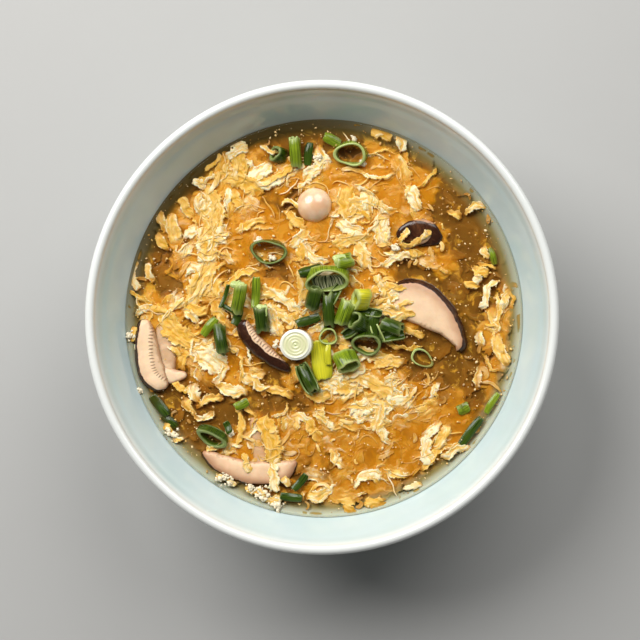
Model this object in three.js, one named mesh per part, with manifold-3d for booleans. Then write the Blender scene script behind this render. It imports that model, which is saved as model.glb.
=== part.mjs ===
// A bowl of egg drop soup, in millimetres, +Z up.
// The origin is the centre of the foot ring, on the surface that the bowl stands on.
// +Y is the far side of the bowl and +X its right side, as the eater sees it.
//
// A celadon bowl holds a clear thickened broth. A raft of set egg floats at its surface,
// cut round five slices of shiitake, one button mushroom and chopped scallion.

import * as THREE from 'three';
import { mergeVertices } from 'three/addons/utils/BufferGeometryUtils.js';
import Module from 'manifold-3d';

const wasm = await Module();
wasm.setup();

// ---------------------------------------------------------------- driving dimensions

const RIM_RADIUS = 86;
const BOWL_HEIGHT = 66;
const LIP_WIDTH = 3.5;
const FOOT_OUTER_RADIUS = 33.5;
const FOOT_INNER_RADIUS = 29;
const FOOT_HEIGHT = 7;
const FOOT_RECESS = 4;
const FLOOR_HEIGHT = 10.5;
const FREEBOARD = 15.7;
const SOUP_LEVEL = BOWL_HEIGHT - FREEBOARD;

const GAP = 0.3;
const BOWL_SIDES = 48;

const EGG_RISE = 1;
const EGG_DEPTH = 5.4;
const EGG_SEED = 20;
const RIBBON_COUNT = 28;
const RIBBON_LENGTH = [11, 20];
const RIBBON_WIDTH = [3, 5];
const RIBBON_THICKNESS = 0.9;
const RIBBON_CROWN = 0.7;
const RIBBON_CURL = 1.8; // the most that one bends from end to end, in radians
const RIBBON_STRAY = 0.8; // the most that one lies off its drift's own lie, in radians
const RIBBON_TAPER = 1.3;
const RIBBON_STEPS = 5;
const LEAST_HOLD = 2; // cubic millimetres of a ribbon that sit in the raft

const SLICE_THICKNESS = 5;
const SLICE_BEVEL = 0.7;
const SLICE_STEPS = 6;
const STEM_SET_IN = 0.5;
const SCALLION_WALL = 1;
const SCALLION_SIDES = 10;
const ROOM_SIDES = 7;
const LEAF_THICKNESS = 1;
const LEAF_ARCH = 0.8;
const LEAF_WAVE = 0.4;
const LEAF_STEPS = 5;

// ---------------------------------------------------------------- finishes

const finish = (color, roughness) => new THREE.MeshStandardMaterial({ color, roughness, metalness: 0 });

const CELADON = finish(0xcfded6, 0.15);
const BROTH = finish(0xa8762f, 0.12);
const EGG = finish(0xf1cd8e, 0.35);
const SHIITAKE = finish(0xefcba0, 0.4);
const SHIITAKE_SKIN = finish(0x46200f, 0.25);
const BUTTON = finish(0xf0cfa6, 0.3);
const SCALLION_DARK = finish(0x33560f, 0.25);
const SCALLION_GREEN = finish(0x6b961f, 0.25);
const SCALLION_PALE = finish(0xc3cf4a, 0.3);
const SCALLION_WHITE = finish(0xe9ecc9, 0.3);

// ---------------------------------------------------------------- solids

const degrees = (angle) => THREE.MathUtils.degToRad(angle);

// A closed three.js geometry as a solid, without its normals, seams and collapsed faces.
function solid(geometry) {
  geometry.deleteAttribute('normal');
  geometry.deleteAttribute('uv');
  const merged = mergeVertices(geometry, 1e-4);
  const index = Array.from(merged.index.array);
  const kept = [];
  for (let i = 0; i < index.length; i += 3) {
    const [a, b, c] = index.slice(i, i + 3);
    if (a !== b && b !== c && c !== a) kept.push(a, b, c);
  }
  return new wasm.Manifold(new wasm.Mesh({
    numProp: 3,
    vertProperties: new Float32Array(merged.attributes.position.array),
    triVerts: new Uint32Array(kept),
  }));
}

function geometryOf(body) {
  const { vertProperties, triVerts } = body.getMesh();
  const geometry = new THREE.BufferGeometry();
  geometry.setAttribute('position', new THREE.BufferAttribute(vertProperties, 3));
  geometry.setIndex(new THREE.BufferAttribute(triVerts, 1));
  geometry.computeVertexNormals();
  return geometry;
}

// The largest of the bodies that a cut has left; the scraps are dropped.
function largest(body) {
  const parts = body.decompose();
  return parts.reduce((best, part) => (part.volume() > best.volume() ? part : best));
}

const cutBy = (body, cutters) => cutters.reduce((rest, cutter) => rest.subtract(cutter), body);
const join = (bodies) => bodies.reduce((whole, body) => whole.add(body));

// Turns a profile of [radius, height] pairs round the Z axis.
function turned(profile, sides) {
  const points = profile.map(([radius, height]) => new THREE.Vector2(radius, height));
  return new THREE.LatheGeometry(points, sides).rotateX(Math.PI / 2);
}

// The same random numbers on every run, from 0 to 1, by a linear congruence.
function seeded(seed) {
  const [factor, step, range] = [1664525, 1013904223, 2 ** 32];
  let state = seed;
  return () => {
    state = (state * factor + step) % range;
    return state / range;
  };
}

const between = (random, [low, high]) => low + (high - low) * random();
const eitherSide = (random, most) => between(random, [-most, most]);

// ---------------------------------------------------------------- bowl

// Inner wall from the middle of the floor to the lip: a shallow floor that sweeps up to
// a wall leaning out by about 33 degrees.
const INNER_WALL = new THREE.SplineCurve([
  new THREE.Vector2(0, FLOOR_HEIGHT),
  new THREE.Vector2(20, FLOOR_HEIGHT + 1.4),
  new THREE.Vector2(40, FLOOR_HEIGHT + 7.5),
  new THREE.Vector2(56, FLOOR_HEIGHT + 18),
  new THREE.Vector2(67.2, FLOOR_HEIGHT + 30.5),
  new THREE.Vector2(73.7, SOUP_LEVEL),
  new THREE.Vector2(RIM_RADIUS - LIP_WIDTH, BOWL_HEIGHT - LIP_WIDTH / 2),
]);

// Outer wall from the lip down to the foot ring.
const OUTER_WALL = new THREE.SplineCurve([
  new THREE.Vector2(RIM_RADIUS, BOWL_HEIGHT - LIP_WIDTH / 2),
  new THREE.Vector2(77.8, SOUP_LEVEL - 2),
  new THREE.Vector2(70, 36),
  new THREE.Vector2(57, 21),
  new THREE.Vector2(44, 12),
  new THREE.Vector2(FOOT_OUTER_RADIUS + 1, FOOT_HEIGHT),
]);

const INNER_STEPS = 9;
const OUTER_STEPS = 7;
const LIP_STEPS = 4;
const FINE_STEPS = 200; // to find the wall's radius at a height

const curvePoints = (curve, steps) => curve.getPoints(steps).map(({ x, y }) => [x, y]);

function lipPoints() {
  const middle = [RIM_RADIUS - LIP_WIDTH / 2, BOWL_HEIGHT - LIP_WIDTH / 2];
  const points = [];
  for (let step = 1; step < LIP_STEPS; step += 1) {
    const angle = (Math.PI * step) / LIP_STEPS;
    points.push([
      middle[0] + (LIP_WIDTH / 2) * Math.cos(angle),
      middle[1] + (LIP_WIDTH / 2) * Math.sin(angle),
    ]);
  }
  return points;
}

function bowl() {
  const profile = [
    [0, FOOT_RECESS],
    [FOOT_INNER_RADIUS - 1, FOOT_RECESS],
    [FOOT_INNER_RADIUS, 0],
    [FOOT_OUTER_RADIUS, 0],
    ...curvePoints(OUTER_WALL, OUTER_STEPS).reverse(),
    ...lipPoints(),
    ...curvePoints(INNER_WALL, INNER_STEPS).reverse(),
  ];
  return solid(turned(profile, BOWL_SIDES));
}

// What fills the bowl up to a height, clear of the wall and floor.
function filling(level) {
  const shortestStep = 1;
  const wall = curvePoints(INNER_WALL, INNER_STEPS)
    .map(([radius, height]) => [Math.max(radius - GAP, 0), height + GAP])
    .filter(([, height]) => height < level - shortestStep);
  const last = wall[wall.length - 1];
  const edge = INNER_WALL.getPoints(FINE_STEPS).find(({ y }) => y >= level) ?? INNER_WALL.getPoint(1);
  const side = [Math.max(edge.x - 2 * GAP, last[0]), level];
  return solid(turned([...wall, side, [0, level]], BOWL_SIDES));
}

// ---------------------------------------------------------------- egg

// The drifts of set egg that float together as one raft. reach and width are half sizes,
// and turn is the lie of the long side, in degrees from +X.
const DRIFTS = [
  { at: [-36, 44], reach: 23, width: 13, turn: 42 },
  { at: [-48, 22], reach: 21, width: 12, turn: 78 },
  { at: [-59, 5], reach: 10, width: 8, turn: 60 },
  { at: [-4, 53], reach: 24, width: 9, turn: -3 },
  { at: [27, 49], reach: 24, width: 11, turn: -33 },
  { at: [-22, 29], reach: 20, width: 13, turn: -20 },
  { at: [10, 30], reach: 22, width: 12, turn: 8 },
  { at: [-20, 4], reach: 24, width: 15, turn: 12 },
  { at: [16, 8], reach: 19, width: 15, turn: -25 },
  { at: [43, 26], reach: 13, width: 7, turn: -50 },
  { at: [-40, -14], reach: 19, width: 10, turn: -30 },
  { at: [0, -13], reach: 15, width: 9, turn: 80 },
  { at: [14, -26], reach: 27, width: 12, turn: -8 },
  { at: [36, -37], reach: 25, width: 15, turn: 38 },
  { at: [10, -48], reach: 28, width: 19, turn: 6 },
  { at: [-22, -47], reach: 17, width: 10, turn: 25 },
  { at: [60, -14], reach: 22, width: 8, turn: 76 },
];

const DRIFT_SIDES = 10;
const DRIFT_RINGS = 4;
const THREE_LOBES = 0.1; // how far the lobes stand out, as shares of the half sizes
const FIVE_LOBES = 0.06;

// A low mound with a wavy outline, widest at the soup's surface.
function drift({ at, reach, width, turn }, number, grow) {
  const shape = new THREE.SphereGeometry(1, DRIFT_SIDES, DRIFT_RINGS).rotateX(Math.PI / 2);
  const position = shape.attributes.position;
  for (let i = 0; i < position.count; i += 1) {
    const [x, y, z] = [position.getX(i), position.getY(i), position.getZ(i)];
    const around = Math.atan2(y, x);
    const lobes = THREE_LOBES * Math.sin(3 * around + number);
    const wave = 1 + lobes + FIVE_LOBES * Math.sin(5 * around + 2 * number);
    const rise = z > 0 ? EGG_RISE : EGG_DEPTH;
    position.setXYZ(i, x * (reach * wave + grow), y * (width * wave + grow), z * (rise + grow));
  }
  return solid(shape.rotateZ(degrees(turn)).translate(at[0], at[1], SOUP_LEVEL));
}

// A strip of set egg that curls over the raft and clears the broth.
function ribbon(random) {
  const bed = DRIFTS[Math.floor(random() * DRIFTS.length)];
  const along = eitherSide(random, 0.8 * bed.reach);
  const across = eitherSide(random, 0.7 * bed.width);
  const length = between(random, RIBBON_LENGTH);
  const width = between(random, RIBBON_WIDTH);
  const curl = eitherSide(random, RIBBON_CURL);
  const lie = degrees(bed.turn) + eitherSide(random, RIBBON_STRAY);
  const shape = new THREE.BoxGeometry(length, width, RIBBON_THICKNESS, RIBBON_STEPS, 1, 1);
  const position = shape.attributes.position;
  for (let i = 0; i < position.count; i += 1) {
    const s = position.getX(i) / length;
    const narrowing = 1 - RIBBON_TAPER * s * s;
    const bend = curl * s;
    const side = position.getY(i) * narrowing;
    const x = length * s * Math.cos(bend / 2) - side * Math.sin(bend);
    const y = length * s * Math.sin(bend / 2) + side * Math.cos(bend);
    position.setXYZ(i, x, y, position.getZ(i) + RIBBON_CROWN * (1 - 4 * s * s));
  }
  shape.rotateZ(lie);
  const turn = degrees(bed.turn);
  const x = bed.at[0] + along * Math.cos(turn) - across * Math.sin(turn);
  const y = bed.at[1] + along * Math.sin(turn) + across * Math.cos(turn);
  return solid(shape.translate(x, y, SOUP_LEVEL + GAP + RIBBON_THICKNESS / 2));
}

// ---------------------------------------------------------------- mushrooms

// A slice follows a line of stations, each [x, y, half width], with its cut face up. Its
// edges are rounded off, and those of its room are left square.
function band(stations, thickness, top, grow) {
  const line = new THREE.CatmullRomCurve3(stations.map((station) => new THREE.Vector3(...station)));
  const bevel = grow > 0 ? 0 : SLICE_BEVEL;
  const left = [];
  const right = [];
  for (let step = 0; step <= SLICE_STEPS; step += 1) {
    const ahead = line.getTangent(step / SLICE_STEPS).setZ(0).normalize();
    const middle = line.getPoint(step / SLICE_STEPS);
    const half = middle.z + grow;
    if (step === 0) middle.addScaledVector(ahead, -grow);
    if (step === SLICE_STEPS) middle.addScaledVector(ahead, grow);
    left.push(new THREE.Vector2(middle.x - half * ahead.y, middle.y + half * ahead.x));
    right.push(new THREE.Vector2(middle.x + half * ahead.y, middle.y - half * ahead.x));
  }
  const shape = new THREE.ExtrudeGeometry(new THREE.Shape([...right, ...left.reverse()]), {
    depth: thickness + 2 * (grow - bevel),
    bevelEnabled: bevel > 0,
    bevelSize: bevel,
    bevelThickness: bevel,
    bevelOffset: -bevel,
    bevelSegments: 1,
  });
  return solid(shape.translate(0, 0, top - thickness - grow + bevel));
}

function mushroomSlice({ cap, stem, rise, thickness = SLICE_THICKNESS }, grow) {
  const top = SOUP_LEVEL + rise;
  const body = band(cap, thickness, top, grow);
  return stem ? body.add(band(stem, thickness - 2 * STEM_SET_IN, top - STEM_SET_IN, grow)) : body;
}

const DOME_SIDES = 14;
const DOME_RINGS = 8;

function domedMushroom({ at, radius, height, rise }, grow) {
  const shape = new THREE.SphereGeometry(1, DOME_SIDES, DOME_RINGS).rotateX(Math.PI / 2);
  shape.scale(radius + grow, radius + grow, height / 2 + grow);
  return solid(shape.translate(at[0], at[1], SOUP_LEVEL + rise - height / 2));
}

const MUSHROOMS = [
  {
    name: 'shiitake_slice_right',
    material: SHIITAKE,
    make: mushroomSlice,
    rise: 2,
    cap: [[22, 8.5, 3.6], [33, 7.6, 7.2], [42, 2.4, 6.2], [47.9, -3.9, 4], [51, -9.4, 2.4], [50.2, -12.8, 1.5]],
  },
  {
    name: 'shiitake_slice_left',
    material: SHIITAKE,
    make: mushroomSlice,
    rise: 2.2,
    cap: [[-66.6, -0.5, 2.6], [-66, -7.7, 4.2], [-65, -15.2, 4.9], [-62.8, -21.6, 5], [-58.4, -26.6, 3]],
    stem: [[-62, -20.6, 3.6], [-56, -21.6, 2.8], [-51, -22, 1.3]],
  },
  {
    name: 'shiitake_slice_front',
    material: SHIITAKE,
    make: mushroomSlice,
    rise: 1.2,
    cap: [
      [-45, -49.7, 1.9], [-38.7, -53.6, 3.4], [-30.5, -56.8, 4.4],
      [-22.4, -57.8, 4.7], [-14.6, -56.8, 4.2], [-9.2, -53, 1.8],
    ],
    stem: [[-23, -55, 3.2], [-23.9, -45.9, 2.7], [-26.4, -36.4, 1.6]],
  },
  {
    name: 'shiitake_slice_back',
    material: SHIITAKE_SKIN,
    make: mushroomSlice,
    rise: 2,
    thickness: 4,
    cap: [[27.5, 29.6, 2], [33, 31.3, 4.4], [38.4, 30.8, 4.9], [44, 28.4, 2.2]],
  },
  {
    name: 'shiitake_slice_centre',
    material: SHIITAKE_SKIN,
    make: mushroomSlice,
    rise: 3,
    thickness: 6,
    cap: [[-29.6, -0.6, 1.5], [-27.4, -6.8, 2.6], [-22.2, -12.4, 3.1], [-16.5, -16.8, 2.4], [-11.6, -19.6, 1.1]],
  },
  {
    name: 'button_mushroom',
    material: BUTTON,
    make: domedMushroom,
    at: [-3.1, 41.8],
    radius: 6.4,
    height: 10.5,
    rise: 2.4,
  },
];

// ---------------------------------------------------------------- scallion

// Sets a piece down: it stands upright, leans towards turn, and is lifted above the soup.
function placed(shape, { at, lift, lean = 0, turn = 0 }) {
  const way = degrees(turn);
  shape.rotateZ(-way).rotateY(degrees(lean)).rotateZ(way);
  return shape.translate(at[0], at[1], SOUP_LEVEL + lift);
}

// A cut length of hollow leaf: a ring when it is short and a tube when it is long.
// A squashed one is an oval, with its long side at spin degrees from +X. Grown, it is the
// whole room that it takes up, with no hole.
function tube({ radius, length, wall = SCALLION_WALL, squash = 1, spin = 0, ...place }, grow) {
  const inner = radius - wall;
  const half = length / 2 + grow;
  const outer = (radius + grow) / Math.cos(Math.PI / ROOM_SIDES);
  const shape = grow > 0
    ? turned([[0, -half], [outer, -half], [outer, half], [0, half]], ROOM_SIDES)
    : turned([[inner, -half], [radius, -half], [radius, half], [inner, half], [inner, -half]], SCALLION_SIDES);
  return solid(placed(shape.scale(1, squash, 1).rotateZ(degrees(spin)), place));
}

// A solid round of the white stem.
function round({ radius, length, squash = 1, ...place }, grow) {
  const half = length / 2 + grow;
  const outer = radius + grow;
  const shape = turned([[0, -half], [outer, -half], [outer, half], [0, half]], 2 * SCALLION_SIDES);
  return solid(placed(shape.scale(1, squash, 1), place));
}

// A thin wavy strip of opened leaf, lying along turn.
// Grown, it is the box that it takes up.
function leaf({ at, lift, length, width, arch = LEAF_ARCH, thickness = LEAF_THICKNESS, turn = 0 }, grow) {
  const steps = grow > 0 ? [1, 1] : [LEAF_STEPS, 2];
  const height = grow > 0 ? thickness + arch + 2 * (LEAF_WAVE + grow) : thickness;
  const shape = new THREE.BoxGeometry(length + 2 * grow, width + 2 * grow, height, ...steps, 1);
  const position = shape.attributes.position;
  for (let i = 0; i < position.count; i += 1) {
    const [x, y, z] = [position.getX(i), position.getY(i), position.getZ(i)];
    const across = y / width;
    const bow = arch * (0.5 - 4 * across * across) + LEAF_WAVE * Math.sin((5 * x) / length);
    position.setXYZ(i, x, y, grow > 0 ? z : z + bow);
  }
  return solid(shape.rotateZ(degrees(turn)).translate(at[0], at[1], SOUP_LEVEL + lift));
}

// Pieces that lie on top come before the pieces they lie on.
const SCALLIONS = [
  // the pile in the middle
  { name: 'scallion_yellow_tube', make: tube, material: SCALLION_PALE, at: [14.4, 6.6], lift: 3.6,
    radius: 3.9, wall: 2.2, length: 5, lean: 62, turn: 178 },
  { name: 'scallion_striped_ring', make: tube, material: SCALLION_GREEN, at: [1.8, 14.2], lift: 3.6,
    radius: 7.4, length: 4.6, lean: 38, turn: -84, squash: 0.72 },
  { name: 'scallion_back_tube', make: tube, material: SCALLION_GREEN, at: [8, 20.6], lift: 2.6,
    radius: 2.9, length: 6.4, lean: 76, turn: 195 },
  { name: 'scallion_curled_tube', make: tube, material: SCALLION_DARK, at: [-3, 7.2], lift: 3,
    radius: 2.6, length: 8, lean: 70, turn: 75 },
  { name: 'scallion_pale_tube', make: tube, material: SCALLION_GREEN, at: [8.4, 1.8], lift: 2.4,
    radius: 3, length: 9, lean: 80, turn: 70 },
  { name: 'scallion_upright_tube', make: tube, material: SCALLION_DARK, at: [2.4, 2.6], lift: 1.8,
    radius: 2.4, length: 12, lean: 86, turn: 92 },
  { name: 'scallion_cluster_left', make: tube, material: SCALLION_DARK, at: [13.6, -2], lift: 2.8,
    radius: 3.2, length: 6.5, lean: 48, turn: 150 },
  { name: 'scallion_cluster_middle', make: leaf, material: SCALLION_DARK, at: [19, -2.4], lift: 2.4,
    length: 9.5, width: 4, turn: 78, arch: 1.2 },
  { name: 'scallion_cluster_right', make: tube, material: SCALLION_DARK, at: [25.6, -3.4], lift: 1.8,
    radius: 2.9, length: 7.6, lean: 84, turn: -22 },
  { name: 'scallion_cluster_low', make: tube, material: SCALLION_DARK, at: [16.6, -9.4], lift: 1.6,
    radius: 5.2, length: 4.4, lean: 26, turn: -100, squash: 0.85, spin: 12 },
  { name: 'scallion_dark_leaf', make: leaf, material: SCALLION_DARK, at: [-5.2, -0.9], lift: 1.4,
    length: 9, width: 3.2, turn: 22 },
  { name: 'scallion_film_ring', make: tube, material: SCALLION_GREEN, at: [2.2, -7], lift: 1.5,
    radius: 3.7, wall: 0.8, length: 3, lean: 12, turn: -60, squash: 0.78 },
  { name: 'scallion_white_round', make: round, material: SCALLION_WHITE, at: [-9.5, -10], lift: 2,
    radius: 6, length: 4, lean: 8, turn: 200, squash: 0.95 },
  { name: 'scallion_bright_tube', make: tube, material: SCALLION_GREEN, at: [9, -16], lift: 2.6,
    radius: 4.2, length: 6.4, lean: 58, turn: -62, squash: 0.8 },
  { name: 'scallion_pale_strip', make: leaf, material: SCALLION_PALE, at: [2.4, -13.6], lift: 2.2,
    length: 7.6, width: 2, turn: 90, arch: 0.2 },
  { name: 'scallion_open_tube', make: tube, material: SCALLION_DARK, at: [-5.2, -22.6], lift: 1.9,
    radius: 2.7, length: 11, lean: 82, turn: -62 },
  { name: 'scallion_yellow_leaf', make: leaf, material: SCALLION_PALE, at: [-0.4, -15.6], lift: 0.4,
    length: 14.5, width: 7.4, turn: 100, thickness: 1.4, arch: 0.4 },
  // the group left of the middle
  { name: 'scallion_left_tube', make: tube, material: SCALLION_GREEN, at: [-30.8, 7.2], lift: 2.4,
    radius: 2.6, length: 11, lean: 74, turn: 78 },
  { name: 'scallion_left_leaf', make: leaf, material: SCALLION_GREEN, at: [-24.8, 9.2], lift: 1.6,
    length: 11.4, width: 3, turn: 84, arch: 0.6 },
  { name: 'scallion_left_short', make: tube, material: SCALLION_DARK, at: [-22.4, -0.6], lift: 2.2,
    radius: 2.5, length: 9.4, lean: 78, turn: 96 },
  { name: 'scallion_left_slip', make: leaf, material: SCALLION_GREEN, at: [-41.8, -3.5], lift: 1.6,
    length: 8, width: 3, turn: 49 },
  { name: 'scallion_left_dark', make: tube, material: SCALLION_DARK, at: [-37.6, -8], lift: 1.8,
    radius: 2.2, length: 10.6, lean: 80, turn: -80 },
  // single pieces in the rest of the bowl
  { name: 'scallion_thin_ring', make: tube, material: SCALLION_DARK, at: [-19.9, 24.6], lift: 1,
    radius: 6.6, wall: 0.9, length: 3, lean: 10, turn: -90, squash: 0.76 },
  { name: 'scallion_bit', make: leaf, material: SCALLION_GREEN, at: [-29.9, -31.9], lift: 1.4,
    length: 5.4, width: 3, turn: 30 },
  { name: 'scallion_far_tube', make: tube, material: SCALLION_GREEN, at: [-10, 61.2], lift: 1.4,
    radius: 2.3, length: 10.6, lean: 76, turn: 94 },
  { name: 'scallion_far_dark', make: tube, material: SCALLION_DARK, at: [-16.4, 60.4], lift: -0.2,
    radius: 2.8, length: 5, lean: 40, turn: 160 },
  { name: 'scallion_far_slip', make: leaf, material: SCALLION_DARK, at: [-5, 60.6], lift: 0.4,
    length: 8.4, width: 2.8, turn: 80 },
  { name: 'scallion_far_ring', make: tube, material: SCALLION_GREEN, at: [10.6, 60.6], lift: 1,
    radius: 5.6, length: 4, lean: 20, turn: -110, squash: 0.85 },
  { name: 'scallion_near_ring', make: tube, material: SCALLION_DARK, at: [-40.6, -44], lift: 0.6,
    radius: 6, length: 3.6, lean: 26, turn: -115, squash: 0.66, spin: -22 },
  { name: 'scallion_near_bit', make: leaf, material: SCALLION_DARK, at: [-35.2, -40.6], lift: 0.6,
    length: 4.4, width: 2.4, turn: 120 },
  { name: 'scallion_near_slip', make: leaf, material: SCALLION_DARK, at: [-8.4, -60.6], lift: 0.6,
    length: 7.4, width: 2.6, turn: 48 },
  { name: 'scallion_near_dark', make: leaf, material: SCALLION_DARK, at: [-11.6, -66.2], lift: 0.2,
    length: 8, width: 2.8, turn: -12 },
  { name: 'scallion_wall_leaf', make: leaf, material: SCALLION_DARK, at: [54.6, -42], lift: 0.2,
    length: 12.6, width: 3, turn: 50 },
  { name: 'scallion_wall_bright', make: leaf, material: SCALLION_GREEN, at: [62.4, -31.6], lift: 0.4,
    length: 8.4, width: 2.2, turn: 58 },
];

// ---------------------------------------------------------------- the whole

const cavity = filling(BOWL_HEIGHT - LIP_WIDTH);

// Each topping keeps clear of the wall and of the toppings that lie over it.
const toppings = [];
for (const item of [...SCALLIONS, ...MUSHROOMS]) {
  const bare = item.make(item, 0).intersect(cavity);
  const clear = cutBy(bare, toppings.map(({ room }) => room));
  toppings.push({ ...item, body: largest(clear), room: item.make(item, GAP) });
}
const allRooms = join(toppings.map(({ room }) => room));
const fitted = (body) => largest(body.intersect(cavity).subtract(allRooms));

const driftsGrownBy = (grow) => join(DRIFTS.map((bed, number) => drift(bed, number, grow)));

function eggRaft() {
  const random = seeded(EGG_SEED);
  const core = fitted(driftsGrownBy(0));
  const ribbons = Array.from({ length: RIBBON_COUNT }, () => fitted(ribbon(random)));
  const held = ribbons.filter((strip) => strip.intersect(core).volume() > LEAST_HOLD);
  return largest(join([core, ...held]));
}

function soup() {
  return largest(filling(SOUP_LEVEL).subtract(driftsGrownBy(GAP)).subtract(allRooms));
}

const group = new THREE.Group();

function addNode(name, body, material) {
  const mesh = new THREE.Mesh(geometryOf(body), material);
  mesh.name = name;
  group.add(mesh);
}

addNode('bowl', bowl(), CELADON);
addNode('soup', soup(), BROTH);
addNode('egg_ribbons', eggRaft(), EGG);
for (const { name, body, material } of toppings) addNode(name, body, material);

export default group;
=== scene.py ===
"""A bowl of egg drop soup: a celadon bowl, thickened broth, set egg, shiitake and scallion.

The script is laid out as an add-on and run as a script. Tables and shapes are in millimetres, in
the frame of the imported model: the foot ring's centre is at the origin, +Z is up, +Y is the far
side of the bowl and +X its right side.
"""

import functools
import math

import bmesh
import bpy
import numpy as np
from bpy.props import FloatProperty, FloatVectorProperty, IntProperty, PointerProperty
from mathutils import Matrix, Vector


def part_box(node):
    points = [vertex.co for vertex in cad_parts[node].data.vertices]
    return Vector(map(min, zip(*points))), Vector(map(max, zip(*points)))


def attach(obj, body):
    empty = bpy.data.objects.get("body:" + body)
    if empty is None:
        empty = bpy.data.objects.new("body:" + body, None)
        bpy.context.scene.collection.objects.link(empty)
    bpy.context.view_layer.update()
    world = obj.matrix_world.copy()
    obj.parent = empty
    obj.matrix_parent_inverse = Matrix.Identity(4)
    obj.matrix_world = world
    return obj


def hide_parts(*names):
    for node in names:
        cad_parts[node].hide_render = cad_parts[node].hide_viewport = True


bl_info = {
    "name": "Egg drop soup",
    "version": (1, 0, 0),
    "blender": (4, 5, 0),
    "location": "3D View > Sidebar > Soup",
    "description": "Builds a bowl of egg drop soup round its packed model",
    "category": "Mesh",
}

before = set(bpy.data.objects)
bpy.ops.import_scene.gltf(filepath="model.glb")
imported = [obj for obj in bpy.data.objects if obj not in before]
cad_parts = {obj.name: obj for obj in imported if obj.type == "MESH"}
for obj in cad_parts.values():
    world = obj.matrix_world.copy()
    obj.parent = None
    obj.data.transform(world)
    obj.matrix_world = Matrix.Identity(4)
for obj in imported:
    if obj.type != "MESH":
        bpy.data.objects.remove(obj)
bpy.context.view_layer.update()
MM = 0.001

# The noise repeats after so many whole numbers
LATTICE = 256

# ------------------------------------------------------------------ bowl and broth

BOWL_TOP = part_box("bowl")[1] / MM
SOUP_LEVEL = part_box("soup")[1].z / MM
SOUP_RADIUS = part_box("soup")[1].x / MM

# [radius, height] along the bowl's walls, from the middle of the floor out and from the lip down
LIP_WIDTH = 3.5
LIP_MIDDLE = (BOWL_TOP.x - LIP_WIDTH / 2, BOWL_TOP.z - LIP_WIDTH / 2)
INNER_WALL = [(0, 10.5), (20, 11.9), (40, 18), (56, 28.5), (67.2, 41), (73.7, SOUP_LEVEL), (82.5, 64.25)]
OUTER_WALL = [(86, 64.25), (77.8, 48.3), (70, 36), (57, 21), (44, 12), (34.5, 7)]
FOOT = [(33.5, 0), (29, 0), (28, 4), (0, 4)]

# Steps from one point to the next inside and outside, round the lip and round the broth's surface
INNER_STEPS = 14
OUTER_STEPS = 8
LIP_STEPS = 12
SURFACE_SIDES = 128

# The turned line under the lip: how far below the rim it runs, and how wide it is
GROOVE_DROP = 5.2
GROOVE_WIDTH = 0.8

# The body of the broth: its radius, the height of its edge against the broth's surface, how deep
# its skirt hangs and how much the skirt narrows
BODY_RADIUS = 73.6
SHORE_HEIGHT = -0.25
SKIRT_DEPTH = 8
SKIRT_SHARE = 0.92

# The side of the bowl that its own wall shades, as a way along x and y, and where the shade starts
# and ends along that way
SHADED_SIDE = (-0.53, 0.85)
SHADE_START = 20
SHADE_END = 72

# The slope of the wall beside the broth, as the parts of its normal: towards the middle and up
WALL_NORMAL = (0.8, 0.6)

# How far from the wall strands and specks keep
STRAND_MARGIN = 2
SPECK_MARGIN = 1.2

# ------------------------------------------------------------------ egg

# Drifts of set egg: the middle, half sizes along and across, and the lie in degrees from +X
DRIFTS = [
    (-36, 44, 23, 13, 42), (-48, 22, 21, 12, 78), (-59, 5, 10, 8, 60), (-4, 53, 24, 9, -3),
    (27, 49, 24, 11, -33), (-22, 29, 20, 13, -20), (10, 30, 22, 12, 8), (-20, 4, 24, 15, 12),
    (16, 8, 19, 15, -25), (43, 26, 13, 7, -50), (-40, -14, 19, 10, -30), (0, -13, 15, 9, 80),
    (14, -26, 27, 12, -8), (36, -37, 25, 15, 38), (10, -48, 28, 19, 6), (-22, -47, 17, 10, 25),
    (64.5, -10, 20, 5, 80),
]

# Pools of open broth between the drifts, places where the egg stands up out of the broth and
# places where it lies calm under the surface, in the same terms
POOLS = [
    (56, 23, 21, 12, 80), (51, -16, 17, 8.5, 62), (-58, 18, 9, 7, 60), (-11, -30, 13, 4.5, 8),
    (-56, -42, 15, 8, -52), (-8, 68, 16, 5, 0), (39, -19, 8, 4, 20), (-50, 48, 10, 5, 45),
    (-13, 62, 10, 5, 0), (43, 40, 9, 8, 40), (-48.5, 31, 5, 5, 0), (8, 61, 8, 5, 0), (-56, 10, 7, 5, 20),
    (-14, -23, 5, 4, 0), (44, 25, 5, 3, -20), (54, -27, 7, 5, 0), (-19, 17, 6, 4, 0), (-34, 2, 5, 4, 0),
    (42, -31, 7, 5, 0), (-4, -56, 9, 5, 0), (-10, 48, 5, 4, 0),
]
BUSY = [
    (-34, 52, 15, 9, 20), (-44, 24, 20, 7, 80), (-66, 6, 13, 7, 80), (10, 43, 8, 9, 0),
    (12, 26, 15, 6, 5), (-13, 8, 9, 9, 0), (-50, -7, 14, 9, -30), (14, -25, 21, 8, -10),
    (42, -50, 11, 8, 40), (0, -66, 26, 5, -5), (-24, -25, 14, 5, 0), (26, 62, 14, 6, -30),
    (62, -4, 16, 5, 85),
]
CALM = [
    (-31, 31, 13, 8, 80), (27, -46, 20, 11, 10), (-4, -44, 15, 9, 80), (25, 46, 9, 9, 0),
    (-12, 33, 10, 7, 0), (-57, 32, 12, 7, 65), (-34, -20, 12, 6, -20), (37, 48, 9, 8, 0),
    (8, -54, 16, 6, 0),
]

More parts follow.
